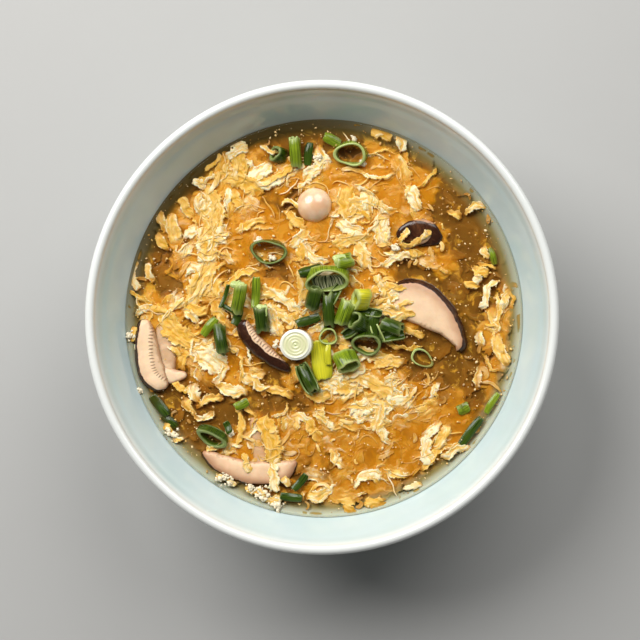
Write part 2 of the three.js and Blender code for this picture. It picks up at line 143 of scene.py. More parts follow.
# The larger strands, given one by one: middle, length, lie and bend in degrees, width, and lift
# above the broth
STRANDS = [
    (-37, 65, 18, 13, -90, 2.5, 0.7), (-31, 57, 10, -84, 0, 6, 0.5), (-23, 54, 10, 32, 15, 5, 0.4),
    (-17, 52, 18, 25, 70, 2, 0.8), (-19, 49, 12, 16, 80, 2, 0.6), (-30, 51, 18, -23, -50, 6.5, 0.5),
    (-35, 45, 7, -96, -25, 2.5, 0.4), (-32, 44, 8, -68, 0, 3, 0.4), (-46, 50, 6, -35, 0, 3.5, 0.5),
    (-40, 42, 16, -74, -55, 6, 0.5), (-47, 42, 8, -86, 140, 2, 0.5), (-39, 36, 18, -85, -35, 4, 0.5),
    (-43, 27, 16, -85, 0, 7.5, 0.35), (-46, 13, 19, -117, 35, 6.5, 0.5), (-56, 33, 12, -80, 60, 5, 0.3),
    (-60, 36, 10, -68, 0, 3.5, 0), (-27, 35, 13, 24, -40, 3, 0.3), (-11, 43, 10, -25, -170, 2, 0.5),
    (-10, 36, 11, -44, 0, 3.5, 0.3), (-9, 29, 9, 40, 0, 4, 0.4), (-8, 25, 9, -85, -40, 3, 0.3),
    (-51, 25, 10, -141, -70, 3.5, 0.1), (22, 68, 9, -15, -80, 3.5, 0.5), (29, 66, 10, -72, -70, 3.5, 0.5),
    (16, 72, 9, -3, -60, 1, 0.3), (-4, 54, 8, 29, 0, 5, 0.6), (9, 42, 14, -80, 40, 6.5, 0.6),
    (17, 43, 9, -80, -80, 4.5, 0.4), (13, 39, 13, 5, -185, 1.5, 0.4), (34, 44, 10, -69, 0, 5, 0.9),
    (39, 51, 10, 44, 35, 1.5, 0.7), (20, 52, 13, -3, 55, 1.5, 0.4), (22, 62, 11, 7, -105, 1, 0.5),
    (22, 41, 12, -37, 75, 3, 0.1), (11, 29, 16, 9, -40, 5, 0.5), (15, 23, 10, -68, -70, 5, 0.5),
    (24, 28, 8, 130, -125, 1.5, 0.8), (30, 30, 7, 54, 0, 2, 2.3), (26, 24, 7, -150, -115, 1.5, 0.8),
    (35, 28, 13, 30, 55, 2, 2.4), (57, 41, 10, 23, -20, 3, 0.4), (49, 38, 6, -23, 0, 3, 0),
    (-71, 16, 13, -85, 70, 3, 0.4), (-68, 8, 12, -28, -60, 2, 0.6), (-67, 3, 8, 29, -65, 2, 0.6),
    (-58, 2, 13, -30, -70, 2, 0.6), (-49, 1, 7, -27, -75, 3.5, 0.6), (-54, -6, 16, -30, 20, 7.5, 0.4),
    (-42, -15, 14, -39, 0, 9, 0.35), (-52, -15, 9, -97, 0, 3.5, 0.1), (-49, -12, 8, -95, 0, 1, 0.5),
    (-31, 16, 15, 27, -60, 2.5, 0.4), (-15, 7, 17, -32, -20, 4, 0.6), (-7, 12, 11, -78, -65, 4.5, 0.6),
    (-18, -1, 12, -80, -30, 3.5, 0.6), (-30, -19, 11, -92, -15, 1.5, 0.5),
    (-24, -26, 11, -37, 220, 2, 0.3), (-36, -25, 8, -11, -65, 2, 0.2), (-53, 5, 12, 22, -40, 2, 0.4),
    (65, 2, 15, -91, -35, 2, 0.5), (65, -12, 14, -68, 50, 4.5, 0.3), (67, 6, 9, -112, 0, 3, 0.4),
    (63, -3, 7, -6, 0, 1, 0.5), (58, -8, 6, -72, 55, 3.5, 0.1), (29, -11, 18, -12, 70, 1.5, 0.5),
    (57, -22, 8, -98, 0, 2.5, -0.1), (24, 9, 11, -36, -100, 3.5, 2.3), (26, 8, 6, 18, -55, 4, 2.3),
    (34, -6, 8, -18, 70, 2, 0.4), (57, 14, 4, -42, 0, 3.5, 0.4), (61, 19, 8, -18, -45, 1.5, 0.4),
    (41, -27, 7, -120, 0, 2, 0.3), (-19, -45, 19, -74, -35, 6.5, 1.4), (-18, -59, 12, -86, 0, 4, 1.6),
    (-30, -40, 16, -91, -70, 2.5, 0.5), (-48, -28, 7, -72, 0, 4.5, 0.1), (-16, -27, 12, -15, -45, 3, 0.1),
    (1, -38, 13, -39, -40, 2, 0.3), (0, -37, 9, -57, 85, 3.5, 0.2), (5, -24, 13, 7, -25, 8, 0.2),
    (18, -24, 22, -28, -30, 5, 0.6), (10, -28, 11, 31, -50, 2, 0.3), (21, -36, 14, -99, -60, 4, 0.5),
    (19, -29, 8, 8, 0, 3, 0.5), (22, -42, 12, -76, 55, 3.5, 0.4), (10, -39, 11, -16, 30, 5, -0.2),
    (38, -49, 12, -79, 75, 4.5, 0.5), (40, -52, 12, -131, 0, 2.5, 0.2), (49, -49, 12, 22, -30, 3, 0.6),
    (13, -52, 5, -98, 0, 3.5, -0.2), (16, -58, 14, 20, -130, 3, 0.3), (19, -68, 8, -3, -40, 3.5, 0.4),
    (1, -65, 7, 37, 0, 3.5, 0.3), (10, -71, 6, -55, 0, 3.5, 0.3), (33, -62, 7, 19, 0, 2, 0.3),
    (33, -36, 15, -28, 35, 4.5, -0.4), (-3, -58, 10, -17, -50, 4.5, -0.2), (21, 5, 10, 15, -60, 3.5, 2.4),
    (25, 4, 9, -35, 60, 3, 2.4), (27, 11, 8, -15, 50, 2.5, 2.5), (22, 12, 9, -60, -70, 3, 2.4),
    (30, 5, 8, 20, -80, 2, 2.6), (19, 9, 8, 60, 60, 3, 1.2), (18, -14, 12, -20, 60, 4, 0.5),
    (24, -16, 12, 10, -60, 4, 0.5), (12, -20, 10, 30, 50, 3.5, 0.5), (24, 2, 10, -10, 60, 3.5, 2.2),
    (28, 0, 9, 30, -60, 3, 2.2), (31, 2, 8, -40, 70, 2.5, 2.3), (-34, -27, 11, -15, 60, 4.5, 0.4),
    (-4, -41, 11, -60, 50, 4, 0.3), (-7, -37, 9, -20, -60, 3, 0.3), (9, -13, 9, -50, 60, 3, 0.8),
    (13, -15, 9, 20, 60, 3.5, 0.6), (-2, -29, 10, -10, 60, 4, 0.4), (40, -42, 10, 40, 50, 3.5, 0.2),
    (-70.5, -6, 6, 80, 60, 2.5, 0.4), (-68.5, -10, 5, 40, -90, 2, 0.4), (-57, -42, 6, -60, 60, 2.5, 0.3),
    (-54, -45, 5, 10, -80, 2, 0.3), (-37, -59, 6, 20, 60, 2.5, 0.6), (-34, -61, 5, -40, 80, 2, 0.6),
    (-23, -65, 7, -20, 60, 2.5, 0.5), (-18, -67, 6, 15, -60, 2.5, 0.5), (-27, -64, 5, -50, 80, 2, 0.5),
    (-28, -54, 8, -70, 60, 2.5, 1.6), (-14, -60, 7, -40, -60, 2.5, 1.2), (-40, -48, 7, 20, 50, 2, 0.8),
    (60, 24, 6, -60, 40, 2.5, 0.4), (58, 17, 7, -25, 50, 3.5, 0.5), (62, 12, 6, 40, -60, 2.5, 0.5),
    (55, 12, 6, -10, 40, 2.5, 0.4), (10, 33, 11, -20, 60, 4, 0.5), (-5, 18, 11, 20, -60, 3.5, 0.6),
    (-3, 22, 10, -30, 60, 3, 0.6), (-47, 3, 9, -20, 60, 3.5, 0.5), (27, 22, 12, 20, -60, 3, 0.9),
    (33, 24, 9, -20, 60, 2.5, 0.9), (60, 7, 10, 80, 40, 3, 0.5), (-53, -26, 8, -30, 40, 3, 0.5),
    (-32, 62, 10, 25, -50, 4, 0.6), (-60, 28, 8, -60, 50, 3, 0.3), (-65, 17, 8, -80, 60, 2.5, 0.4),
    (-51, 41, 9, -60, 40, 3.5, 0.4), (5, -52, 9, -60, 80, 3.5, 0.2), (44, -44, 10, 60, 50, 3.5, 0.4),
    (7.5, -9, 7, -20, 60, 3, 1.0), (-17, -3, 9, -70, 40, 3.5, 0.8), (-14, 0, 8, -40, 60, 3, 0.8),
    (-20, 62, 7, -20, 60, 2, 0.6), (-42, -30, 11, 20, -70, 3, 0.2), (-37, -21, 10, 60, 80, 2.5, 0.3),
    (-50, -33, 9, -60, 40, 3, 0.0), (-44, -37, 9, 10, 100, 2.5, 0.1), (-28, -34, 9, -50, 100, 2, 0.3),
]

# Kinds of random strand in the raft: how many, how far they stray out of their drift, and the
# reach of their lengths, widths, lifts and bends. The second table's lie anywhere in the bowl.
RAFT_IN_DRIFTS = {
    "sunk": dict(count=420, stray=1.15, lengths=(6, 14), widths=(2.5, 7), lifts=(-1.7, -0.5), bends=90),
    "wide": dict(count=230, stray=1.0, lengths=(6, 15), widths=(2.5, 6), lifts=(-1.0, 0.15), bends=90),
    "narrow": dict(count=420, stray=1.1, lengths=(3, 10), widths=(0.7, 1.8), lifts=(-0.8, 0.35), bends=180),
}
RAFT_ADRIFT = {
    "deep": dict(count=300, lengths=(3, 10), widths=(0.8, 3.5), lifts=(-1.9, -0.8)),
    "soft": dict(count=480, lengths=(4, 13), widths=(1.0, 4.0), lifts=(-1.1, -0.35)),
}
LAYERS = ["deep", "sunk", "soft", "wide", "narrow"]

# The loose strips over the raft, in the same terms
RIBBONS = dict(stray=1.0, lengths=(4, 10), widths=(0.9, 2.0), lifts=(-0.35, 0.2), bends=160)
THREADS = dict(stray=1.15, lengths=(4, 12), widths=(0.3, 0.6), lifts=(-0.5, 0.2), bends=130)
FLAKES = dict(lengths=(1.8, 4.5), widths=(0.7, 1.7), lifts=(0.0, 0.2))
STRIP_THICKNESS = 0.16

# Seeds of the raft, of the loose strips, of the crumbs and of the foam
RAFT_SEED = 12
LOOSE_SEED = 13
CRUMB_SEED = 4
FOAM_SEED = 5

# Where in the noise a strand looks: the step from one strand to the next, and where it starts again
STRAND_STEP = 7.31
STRAND_CYCLE = 97

# The body of the broth is made in quarters: their names, and the sides of the bowl they lie on
QUARTERS = [
    ("broth_far_right", 1, 1), ("broth_far_left", -1, 1), ("broth_near_left", -1, -1),
    ("broth_near_right", 1, -1),
]

# Clusters of foam: the middle, how far it spreads, how many lumps and lift above the broth
FOAM = [
    (-72, -7, 2.4, 14, 0.2), (-68.5, -27.5, 1.6, 7, 0.2), (-56, -43, 3.0, 18, 0.2),
    (-36.5, -60, 3.4, 22, 0.9), (-22, -65, 3.4, 24, 0.5), (-17, -69, 3.0, 20, 0.3),
    (-27, -63, 2.0, 12, 0.5), (11, 66, 1.6, 9, 0.6), (15, 57, 1.4, 7, 0.6), (-1.5, 59.5, 1.8, 10, 0.3),
    (-17, -10, 1.8, 14, 1.2), (-23.5, 28.5, 1.8, 9, 0.5), (-19, 21.6, 1.6, 8, 0.3), (17, -6, 1.2, 5, 2.6),
    (-34, -42.5, 1.2, 6, 0.5), (27, 26, 1.6, 9, 1.6),
]

# ------------------------------------------------------------------ mushrooms

# Each slice follows stations of [x, y, half width]. side is 1 where the skin is on the left of the
# way along them and -1 on the right, skin is how wide it shows, and gills how far in from it they
# are. From beyond inwards the flesh is brown, and flush is how far painted shade darkens its border.
SLICES = [
    dict(
        name="shiitake_slice_right", rise=2, thickness=5, side=1, skin=1.9, gills=99,
        cap=[
            (22, 8, 4), (32.6, 6.9, 7.9), (41.6, 1.8, 6.9), (47.7, -4.2, 4.4), (50.9, -9.5, 2.6),
            (50.2, -12.8, 1.6),
        ],
    ),
    dict(
        name="shiitake_slice_left", rise=2.2, thickness=5, side=-1, skin=1.5, gills=6.6, flush=0.15,
        cap=[(-66.6, -0.5, 2.6), (-66, -7.7, 4.2), (-65, -15.2, 4.9), (-62.8, -21.6, 5), (-58.4, -26.6, 3)],
        under=[(-61, -1.6, 2.2), (-59, -8.6, 3.6), (-58, -15.4, 3.5), (-57.4, -21.4, 2.2)],
        stem=[(-62, -20.6, 3.6), (-56, -21.6, 2.8), (-50.5, -21, 1.3)],
    ),
    dict(
        name="shiitake_slice_front", rise=1.2, thickness=5, side=-1, skin=0.9, gills=99, flush=0.95,
        cap=[
            (-45, -49.7, 1.9), (-38.7, -53.6, 3.4), (-30.5, -56.8, 4.4), (-22.4, -57.8, 4.7),
            (-14.6, -56.8, 4.2), (-9.2, -53, 1.8),
        ],
        stem=[(-23, -55, 3.2), (-23.9, -45.9, 2.7), (-26.4, -36.4, 1.6)],
    ),
    dict(
        name="shiitake_slice_back", rise=2, thickness=4, side=-1, skin=9, gills=99,
        cap=[(27.5, 29.6, 2), (33, 31.3, 4.4), (38.4, 30.8, 4.9), (44, 28.4, 2.2)],
        stem=[
            (30, 25.2, 0.6), (35, 27.2, 0.8), (38.6, 29, 0.9), (40, 31.6, 0.8), (38, 33.6, 0.8),
            (36.8, 36.6, 0.6),
        ],
    ),
    dict(
        name="shiitake_slice_centre", rise=3, thickness=6, side=-1, skin=3.9, gills=5.1, beyond=99,
        flush=0.1,
        cap=[
            (-30.2, -0.8, 2.6), (-27.6, -6.6, 3.2), (-22.3, -12.3, 3.2), (-16.6, -16.8, 2.5),
            (-11.6, -19.6, 1.1),
        ],
    ),
]
BUTTON = dict(name="button_mushroom", at=(-3.1, 41.8), radius=6.6, height=10.5, rise=3.4)

# Steps along a slice and round it, and how far painted shade darkens a border where the entry doesn't say
SLICE_ROWS = 36
SLICE_AROUND = 28
FLUSH_AND_SHADE = 0.7

# ------------------------------------------------------------------ scallion


def tube(look, at, lift, **sizes):
    """A cut length of hollow leaf, by radius, length, wall, lean, turn, squash and spin."""
    return "tube", look, at, lift, sizes


def leaf(look, at, lift, **sizes):
    """A strip of opened leaf, by length, width, arch, thickness, turn, roll and veins."""
    return "leaf", look, at, lift, sizes


def stem_round(look, at, lift, **sizes):
    """A solid round of stem, by radius, length, lean, turn and squash."""
    return "round", look, at, lift, sizes


# Each piece by its look, its middle, its lift above the broth and its sizes
SCALLIONS = {
    "yellow_tube": tube("pale", (14.4, 6.6), 3.6, radius=3.9, wall=2.2, length=5, lean=62, turn=178),
    "striped_ring": tube("green", (1.8, 14.2), 3.6, radius=7.4, length=4.6, lean=38, turn=-84, squash=0.72),
    "back_tube": tube("green", (8, 20.6), 2.6, radius=2.9, length=6.4, lean=76, turn=195),
    "curled_tube": tube("dark", (-3, 7.2), 3, radius=2.6, length=8, lean=70, turn=75),
    "pale_tube": tube("green", (8.4, 1.8), 2.4, radius=3, length=9, lean=80, turn=70),
    "upright_tube": tube("dark", (2.4, 2.6), 1.8, radius=2.4, length=12, lean=86, turn=92),
    "cluster_left": tube("dark", (13.6, -2), 2.8, radius=3.2, length=6.5, lean=48, turn=150),
    "cluster_middle": leaf("dark", (19, -2.4), 2.4, length=9.5, width=4, turn=78, arch=1.2),
    "cluster_right": tube("dark", (25.6, -3.4), 1.8, radius=2.9, length=7.6, lean=84, turn=-22),
    "cluster_low": tube(
        "dark", (16.6, -9.4), 1.6, radius=5.2, length=4.4, lean=26, turn=-100, squash=0.85, spin=12
    ),
    "dark_leaf": leaf("dark", (-5.2, -0.9), 1.4, length=9, width=3.2, turn=22),
    "film_ring": tube(
        "green", (2.2, -7), 1.5, radius=3.7, wall=0.8, length=3, lean=12, turn=-60, squash=0.78
    ),
    "white_round": stem_round("white", (-9.5, -10), 2, radius=6, length=4, lean=8, turn=200, squash=0.95),
    "bright_tube": tube("green", (9, -16), 2.6, radius=4.2, length=6.4, lean=58, turn=-62, squash=0.8),
    "pale_strip": leaf("pale", (2.4, -13.6), 2.2, length=7.6, width=2, turn=90, arch=0.2),
    "open_tube": tube("dark", (-5.2, -22.6), 1.2, radius=2.3, length=11, lean=82, turn=-62),
    "yellow_leaf": leaf(
        "pale", (-0.4, -15.6), 0.4, length=14.5, width=7.4, turn=100, thickness=1.4, arch=0.4
    ),
    "left_tube": tube("green", (-30.8, 7.2), 2.4, radius=2.6, length=11, lean=74, turn=78),
    "left_leaf": leaf("green", (-24.8, 9.2), 1.6, length=11.4, width=3, turn=84, arch=0.6),
    "left_short": tube("dark", (-22.4, -0.6), 2.2, radius=2.5, length=9.4, lean=78, turn=96),
    "left_slip": leaf("green", (-41.8, -3.5), 1.6, length=8, width=3, turn=49),
    "left_dark": tube("dark", (-37.6, -8), 1.8, radius=2.2, length=10.6, lean=80, turn=-80),
    "thin_ring": tube(
        "dark", (-19.9, 24.6), 1, radius=6.7, wall=1.0, length=3.6, lean=18, turn=-80, squash=0.66
    ),
    "bit": leaf("green", (-29.9, -31.9), 1.4, length=5.4, width=3, turn=30),
    "far_tube": tube("green", (-10, 61.2), 1.4, radius=2.3, length=10.6, lean=76, turn=94),
    "far_dark": tube("dark", (-16.4, 60.4), -0.2, radius=2.8, length=5, lean=40, turn=160),
    "far_slip": leaf("dark", (-5, 60.6), 0.4, length=8.4, width=2.8, turn=80),
    "far_ring": tube("green", (10.6, 60.6), 1, radius=5.6, length=4, lean=20, turn=-110, squash=0.85),
    "near_ring": tube(
        "dark", (-40.6, -44), 0.6, radius=6, wall=1.8, length=4.4, lean=34, turn=-115, squash=0.5, spin=-22
    ),
    "near_bit": leaf("dark", (-35.2, -40.6), 0.6, length=4.4, width=2.4, turn=120),
    "near_slip": leaf("dark", (-8.4, -60.6), 0.6, length=7.4, width=2.6, turn=48),
    "near_dark": leaf("dark", (-11.6, -66.2), 0.2, length=8, width=2.8, turn=-12),
    "wall_leaf": leaf("dark", (54.6, -42), 0.2, length=12.6, width=3, turn=50),
    "wall_bright": leaf("green", (62.4, -31.6), 0.4, length=8.4, width=2.2, turn=58),
}

# Leaves that lie on other pieces: the piece that each belongs to, and the same terms
FOLDS = {
    "striped_inside": (
        "striped_ring",
        leaf("striped", (2.2, 12.8), 2.6, length=5.5, width=11.5, turn=92, roll=-64, veins=0.3),
    ),
    # The pale leaves on the tubes' tops are partly their paler cut ends and partly a painted highlight.
    "short_top": ("left_short", leaf("pale_and_highlight", (-22, 2.6), 3.7, length=4, width=4.2, turn=84, roll=24)),
    "tube_top": ("left_tube", leaf("pale_and_highlight", (-31, 12), 3.8, length=2.4, width=5, turn=82, roll=40)),
    "back_top": ("back_tube", leaf("pale_and_highlight", (6.8, 21.2), 4.6, length=4.6, width=3.6, turn=20, roll=60)),
    "trough": ("open_tube", leaf("dark", (-5.4, -22.4), 3.4, length=11.5, width=5.2, turn=-62, roll=-190)),
    "fold_left": ("cluster_left", leaf("dark", (11, -4.5), 3.2, length=8, width=3.4, turn=35, roll=-200)),
    "fold_back": ("cluster_middle", leaf("dark", (17.5, 2), 3.4, length=9, width=3, turn=-15, roll=-160)),
    "fold_middle": (
        "cluster_middle",
        leaf("green", (20.5, -6), 3, length=7.5, width=3, turn=110, roll=-220),
    ),
    "fold_right": ("cluster_right", leaf("dark", (26, -6.8), 2.6, length=8.5, width=4, turn=10, roll=-150)),
    "fold_upright": ("upright_tube", leaf("dark", (4.8, 8.6), 3, length=8, width=3.2, turn=70, roll=-170)),
    "fold_striped": (
        "striped_ring",
        leaf("dark", (-4.2, 17.2), 3, length=8.5, width=3.6, turn=20, roll=170),
    ),
    "fold_slip": ("left_tube", leaf("dark", (-36.4, 8), 1.6, length=9, width=1.3, turn=70, roll=60)),
    "fold_low": ("left_tube", leaf("dark", (-31.6, 0.4), 1.2, length=6.5, width=3, turn=62)),
    "fold_curl": ("left_tube", leaf("dark", (-34.4, 3), 1.2, length=8, width=1.3, turn=-35, roll=60)),
}

# The record's slot for the looks that it doesn't name
SLOTS = {"striped": "white", "pale_and_highlight": "green"}

# Pieces that lie wholly under the surface, in the same terms
SUNK = {
    "leaf_left": leaf("dark", (-60.6, -32.6), -0.7, length=9.5, width=3.6, turn=-55),
    "leaf_low": leaf("dark", (-57, -38.5), -0.8, length=7, width=3, turn=-40),
    "slip_right": leaf("green", (62.4, 22.4), -0.7, length=6.4, width=2.2, turn=-68),
    "leaf_far": leaf("green", (3.6, 65.8), -0.5, length=6.6, width=3.8, turn=-20),
    "ring_right": tube(
        "green", (36.6, -15), -1.1, radius=4.8, length=2.4, lean=8, turn=-40, squash=0.6, spin=-25
    ),
    "bit_right": leaf("green", (51.8, -33.4), -0.5, length=4.4, width=4, turn=20),
}

# Rows and columns of a leaf, steps round a tube and round the white round, and a leaf's thickness
LEAF_ROWS = 22
LEAF_COLUMNS = 14
TUBE_SIDES = 40
ROUND_SIDES = 64
LEAF_THICKNESS = 0.6

# ------------------------------------------------------------------ stage

# The two far windows: their place in metres, and their share of the light
WINDOWS = {
    "window_left": ((-0.545, 0.585, 0.85), 1.3),
    "window_right": ((0.365, 0.71, 0.85), 0.68),
}
WINDOW_WIDTH = 0.85
WINDOW_TINT = (1.0, 0.995, 0.98)
ROOM_TINT = (0.97, 0.99, 1.0, 1)
LAMPS_AIM = Vector((0, 0, 0.05))

# The camera: what it looks at in millimetres, how far from it in metres, and how far it is tipped
# to the right and towards the eater in degrees
CAMERA_AIM = (0.1, -1.3)
CAMERA_DISTANCE = 0.65
CAMERA_RIGHT = 3.8
CAMERA_NEAR = 1.5
SENSOR = 36

# Half the floor's width in metres
FLOOR_REACH = 3

# ------------------------------------------------------------------ textures

# Noises of the materials: cells to a unit of what they are laid on, detail, roughness, distortion
TEXTURES = {
    "cloud": (105, 4, 0.6, 0.5),
    "hollow": (150, 3, 0.55, 0.8),
    "wisp": (190, 4, 0.6, 1.0),
    "ripple": (95, 2, 0.5, 0),
    "mottled glaze": (45, 4, 0.6, 0),
    "wavy glaze": (60, 2, 0.5, 0),
    "egg pleat": (1, 3, 0.5, 0.6),
    "egg clot": (420, 3, 0.6, 0),
    "egg patch": (210, 3, 0.6, 0),
    "foam patch": (800, 2, 0.5, 0),
    "foam grain": (2500, 2, 0.5, 0),
    "flesh border": (330, 3, 0.5, 0),
    "flesh fibre": (420, 4, 0.6, 0),
    "skin streak": (260, 3, 0.7, 0.8),
    "button patch": (150, 3, 0.5, 0),
    "button grain": (500, 2, 0.5, 0),
    "leaf vein": (1.6, 2, 0.5, 0),
    "leaf patch": (170, 2, 0.5, 0),
    "stem border": (300, 2, 0.5, 0),
    "floor grain": (30, 3, 0.5, 0),
}

# How a texture is stretched: egg pleats along a strand, leaf veins along a leaf
PLEAT_STRETCH = (0.3, 0.9, 1)
VEIN_STRETCH = (9, 9, 0.06)

# What a colour is multiplied by: sunk in the broth, in a light vein, in a dark one and on the floor
BROTH_TINT = (0.93, 0.60, 0.22, 1)
LIGHT_VEIN = (2.6, 2.1, 1.8, 1)
DARK_VEIN = (0.42, 0.46, 0.4, 1)
DARK_FLOOR = (0.97, 0.97, 0.97, 1)

# How far light of each colour goes in flesh and in thick broth
FLESH_SCATTER = (1.0, 0.5, 0.25)
BROTH_SCATTER = (1.0, 0.7, 0.45)

# ------------------------------------------------------------------ settings


def length(name, description, millimetres):
    return FloatProperty(name=name, description=description, default=millimetres * MM, unit="LENGTH")


def colour(name, description, rgb):
    return FloatVectorProperty(
        name=name, description=description, default=(*rgb, 1.0), size=4, min=0, max=1, subtype="COLOR"
    )


class BowlSettings(bpy.types.PropertyGroup):
    """Colours and turning of the bowl"""

    glaze: colour("Glaze", "Glaze where it lies at its usual depth", (0.61, 0.725, 0.73))
    thin_glaze: colour("Thin glaze", "Glaze on the lip, where it runs thin", (0.84, 0.86, 0.83))
    pooled_glaze: colour("Pooled glaze", "Glaze that has gathered in the grooves", (0.45, 0.62, 0.56))
    groove: length("Groove depth", "How deep the turned line under the lip is", 0.22)
    sides: IntProperty(name="Sides", description="Steps round the bowl", default=160, min=24)


class BrothSettings(bpy.types.PropertyGroup):
    """Colours and depths of the broth"""

    deep: colour("Deep broth", "Broth with nothing under its surface", (0.19, 0.094, 0.012))
    golden: colour("Golden broth", "Broth with egg just under its surface", (0.64, 0.31, 0.006))
    cloudy: colour("Cloudy broth", "Broth where a wisp of fine egg hangs in it", (0.82, 0.48, 0.05))
    shallow: colour("Shallow broth", "Thin broth over the wall, in the light", (0.40, 0.33, 0.12))
    shaded_shallow: colour("Shaded shallow", "The same in the bowl's shade", (0.13, 0.085, 0.016))
    shore: colour("Shore", "The last of the broth at the wall, in the light", (0.62, 0.66, 0.52))
    shaded_shore: colour("Shaded shore", "The same in the bowl's shade", (0.22, 0.17, 0.06))
    veil: length("Veil", "Depth at which what is sunk has lost most of its colour", 1.0)
    cells: IntProperty(name="Cells", description="Cells across a quarter of the broth", default=300, min=20)


class EggSettings(bpy.types.PropertyGroup):
    """Amounts and colours of the set egg"""

    # In the egg's materials these colours follow the pleats: white and cream on the crests and yolk in the
    # hollows, partly the egg's own colour and partly painted light and shade.
    cream: colour("Cream", "Egg that stands out of the broth", (0.88, 0.565, 0.155))
    white: colour("White", "Egg white in the thickest folds", (1.00, 0.84, 0.55))
    yolk: colour("Yolk", "Thin golden egg", (0.76, 0.41, 0.04))
    foam: colour("Foam", "Lumps of foam", (0.96, 0.88, 0.70))
    foam_shade: colour("Foam shade", "Darker patches of the foam", (0.80, 0.64, 0.36))
    ribbons: IntProperty(name="Ribbons", description="Narrow curling ribbons", default=55, min=1)
    flakes: IntProperty(name="Flakes", description="Small flakes adrift", default=60, min=1)
    threads: IntProperty(name="Threads", description="Fine threads", default=190, min=1)
    crumbs: IntProperty(name="Crumbs", description="Specks adrift in the broth", default=2000, min=1)


class MushroomSettings(bpy.types.PropertyGroup):
    """Colours of the mushrooms"""

    flesh: colour("Flesh", "Cut flesh of the shiitake", (0.78, 0.50, 0.30))
    # The heart and the blush paint light in the middle of a cut and shade beside its skin and border, over
    # the flesh's own colours.
    heart: colour("Heart", "Brightest flesh", (0.92, 0.66, 0.42))
    blush_and_shade: colour("Blush", "Flesh beside the skin and along the cut's border", (0.46, 0.22, 0.11))
    gills: colour("Gills", "Gills and the flesh beside them", (0.44, 0.24, 0.10))
    skin: colour("Skin", "Wet skin of the cap", (0.040, 0.012, 0.005))
    # The slits' colour is painted shade in the gaps between the gills.
    slits: colour("Slits", "Dark slits between the gills", (0.20, 0.09, 0.035))
    streaks: colour("Streaks", "Paler streaks in the skin", (0.15, 0.055, 0.02))
    button: colour("Button", "Cap of the button mushroom", (0.82, 0.49, 0.28))
    button_light: colour("Button light", "Palest patches of that cap", (0.93, 0.68, 0.46))


class ScallionSettings(bpy.types.PropertyGroup):
    """Colours of the scallion"""

    dark: colour("Dark leaf", "Top of the leaf", (0.022, 0.050, 0.003))
    bright: colour("Bright leaf", "Middle of the leaf", (0.115, 0.19, 0.010))
    pale: colour("Pale leaf", "Leaf near the stem", (0.50, 0.50, 0.022))
    white: colour("White stem", "Cut white of the stem", (0.78, 0.76, 0.46))
    cut: colour("Cut edge", "Rim of a cut leaf", (0.54, 0.62, 0.22))
    # The tops' colour is partly paler cut leaf and partly a painted highlight.
    pale_and_highlight: colour("Faded leaf", "Tops of the cut tubes", (0.44, 0.56, 0.20))
    rings: colour("Stem rings", "Rings in the cut white", (0.58, 0.66, 0.28))
    stem_skin: colour("Stem skin", "Outermost ring of the stem", (0.95, 0.94, 0.82))
    stem_heart: colour("Stem heart", "Middle of the stem", (0.66, 0.72, 0.36))


class StageSettings(bpy.types.PropertyGroup):
    """Floor, light and camera"""

    floor: colour("Floor", "Plain pale floor", (0.50, 0.495, 0.48))
    key: FloatProperty(name="Windows", description="Light of a window, in watts", default=10.4)
    world: FloatProperty(name="Room light", description="Strength of the light all round", default=0.10)
    lens: FloatProperty(name="Lens", description="Focal length in millimetres", default=101.3)


# ------------------------------------------------------------------ shapes


@functools.lru_cache(maxsize=None)
def lattice(seed):
    """Random slopes on a square of whole numbers, as the parts of unit arrows along x and y."""
    turns = np.random.default_rng(seed).uniform(0, 2 * np.pi, (LATTICE, LATTICE))
    return np.cos(turns), np.sin(turns)


def smooth_noise(x, y, seed):
    """Smooth noise from about -1 to 1."""
    slopes_x, slopes_y = lattice(seed)
    cell_x, cell_y = np.floor(x).astype(int), np.floor(y).astype(int)
    part_x, part_y = x - cell_x, y - cell_y

    def slope(step_x, step_y):
        where = (cell_x + step_x) % LATTICE, (cell_y + step_y) % LATTICE
        return slopes_x[where] * (part_x - step_x) + slopes_y[where] * (part_y - step_y)

    ease_x, ease_y = (part**3 * (part * (part * 6 - 15) + 10) for part in (part_x, part_y))
    near = slope(0, 0) * (1 - ease_x) + slope(1, 0) * ease_x
    far = slope(0, 1) * (1 - ease_x) + slope(1, 1) * ease_x
    return 1.5 * (near * (1 - ease_y) + far * ease_y)


def ease(value, low, high):
    """0 below low, 1 above high and a smooth step between."""
    share = np.clip((value - low) / (high - low), 0, 1)
    return share * share * (3 - 2 * share)


def inside(x, y, patch):
    """1 in the middle of an oval patch, 0 on its edge and less outside."""
    middle_x, middle_y, reach, width, turn = patch
    angle = math.radians(turn)
    along = ((x - middle_x) * math.cos(angle) + (y - middle_y) * math.sin(angle)) / reach
    across = ((y - middle_y) * math.cos(angle) - (x - middle_x) * math.sin(angle)) / width
    return 1 - along**2 - across**2


def swayed(values, x, y, *layers):
    """Values with layers of noise added to them, each by its size, the width of its cells and a seed."""
    for size, cell, seed in layers:
        values = values + size * smooth_noise(x / cell, y / cell, seed)
    return values


def egg_cover(x, y):
    """How much egg floats at a place, from 0 in open broth to 1 in the middle of a drift."""
    wave_x = swayed(x, x, y, (5, 9, 3), (2, 3.5, 4))
    wave_y = swayed(y, x, y, (5, 9, 5), (2, 3.5, 6))
    cover = np.full_like(wave_x, -1.0)
    for drift in DRIFTS:
        cover = np.maximum(cover, inside(wave_x, wave_y, drift))
    for pool in POOLS:
        cover = cover - 1.2 * np.clip(inside(wave_x, wave_y, pool), 0, 1)
    return ease(cover, -0.55, 0.5)


def deepest(x, y, patches):
    """How far inside the nearest of the patches a place is, from 0 outside to 1."""
    return np.clip(np.max([inside(x, y, patch) for patch in patches], axis=0), 0, 1)


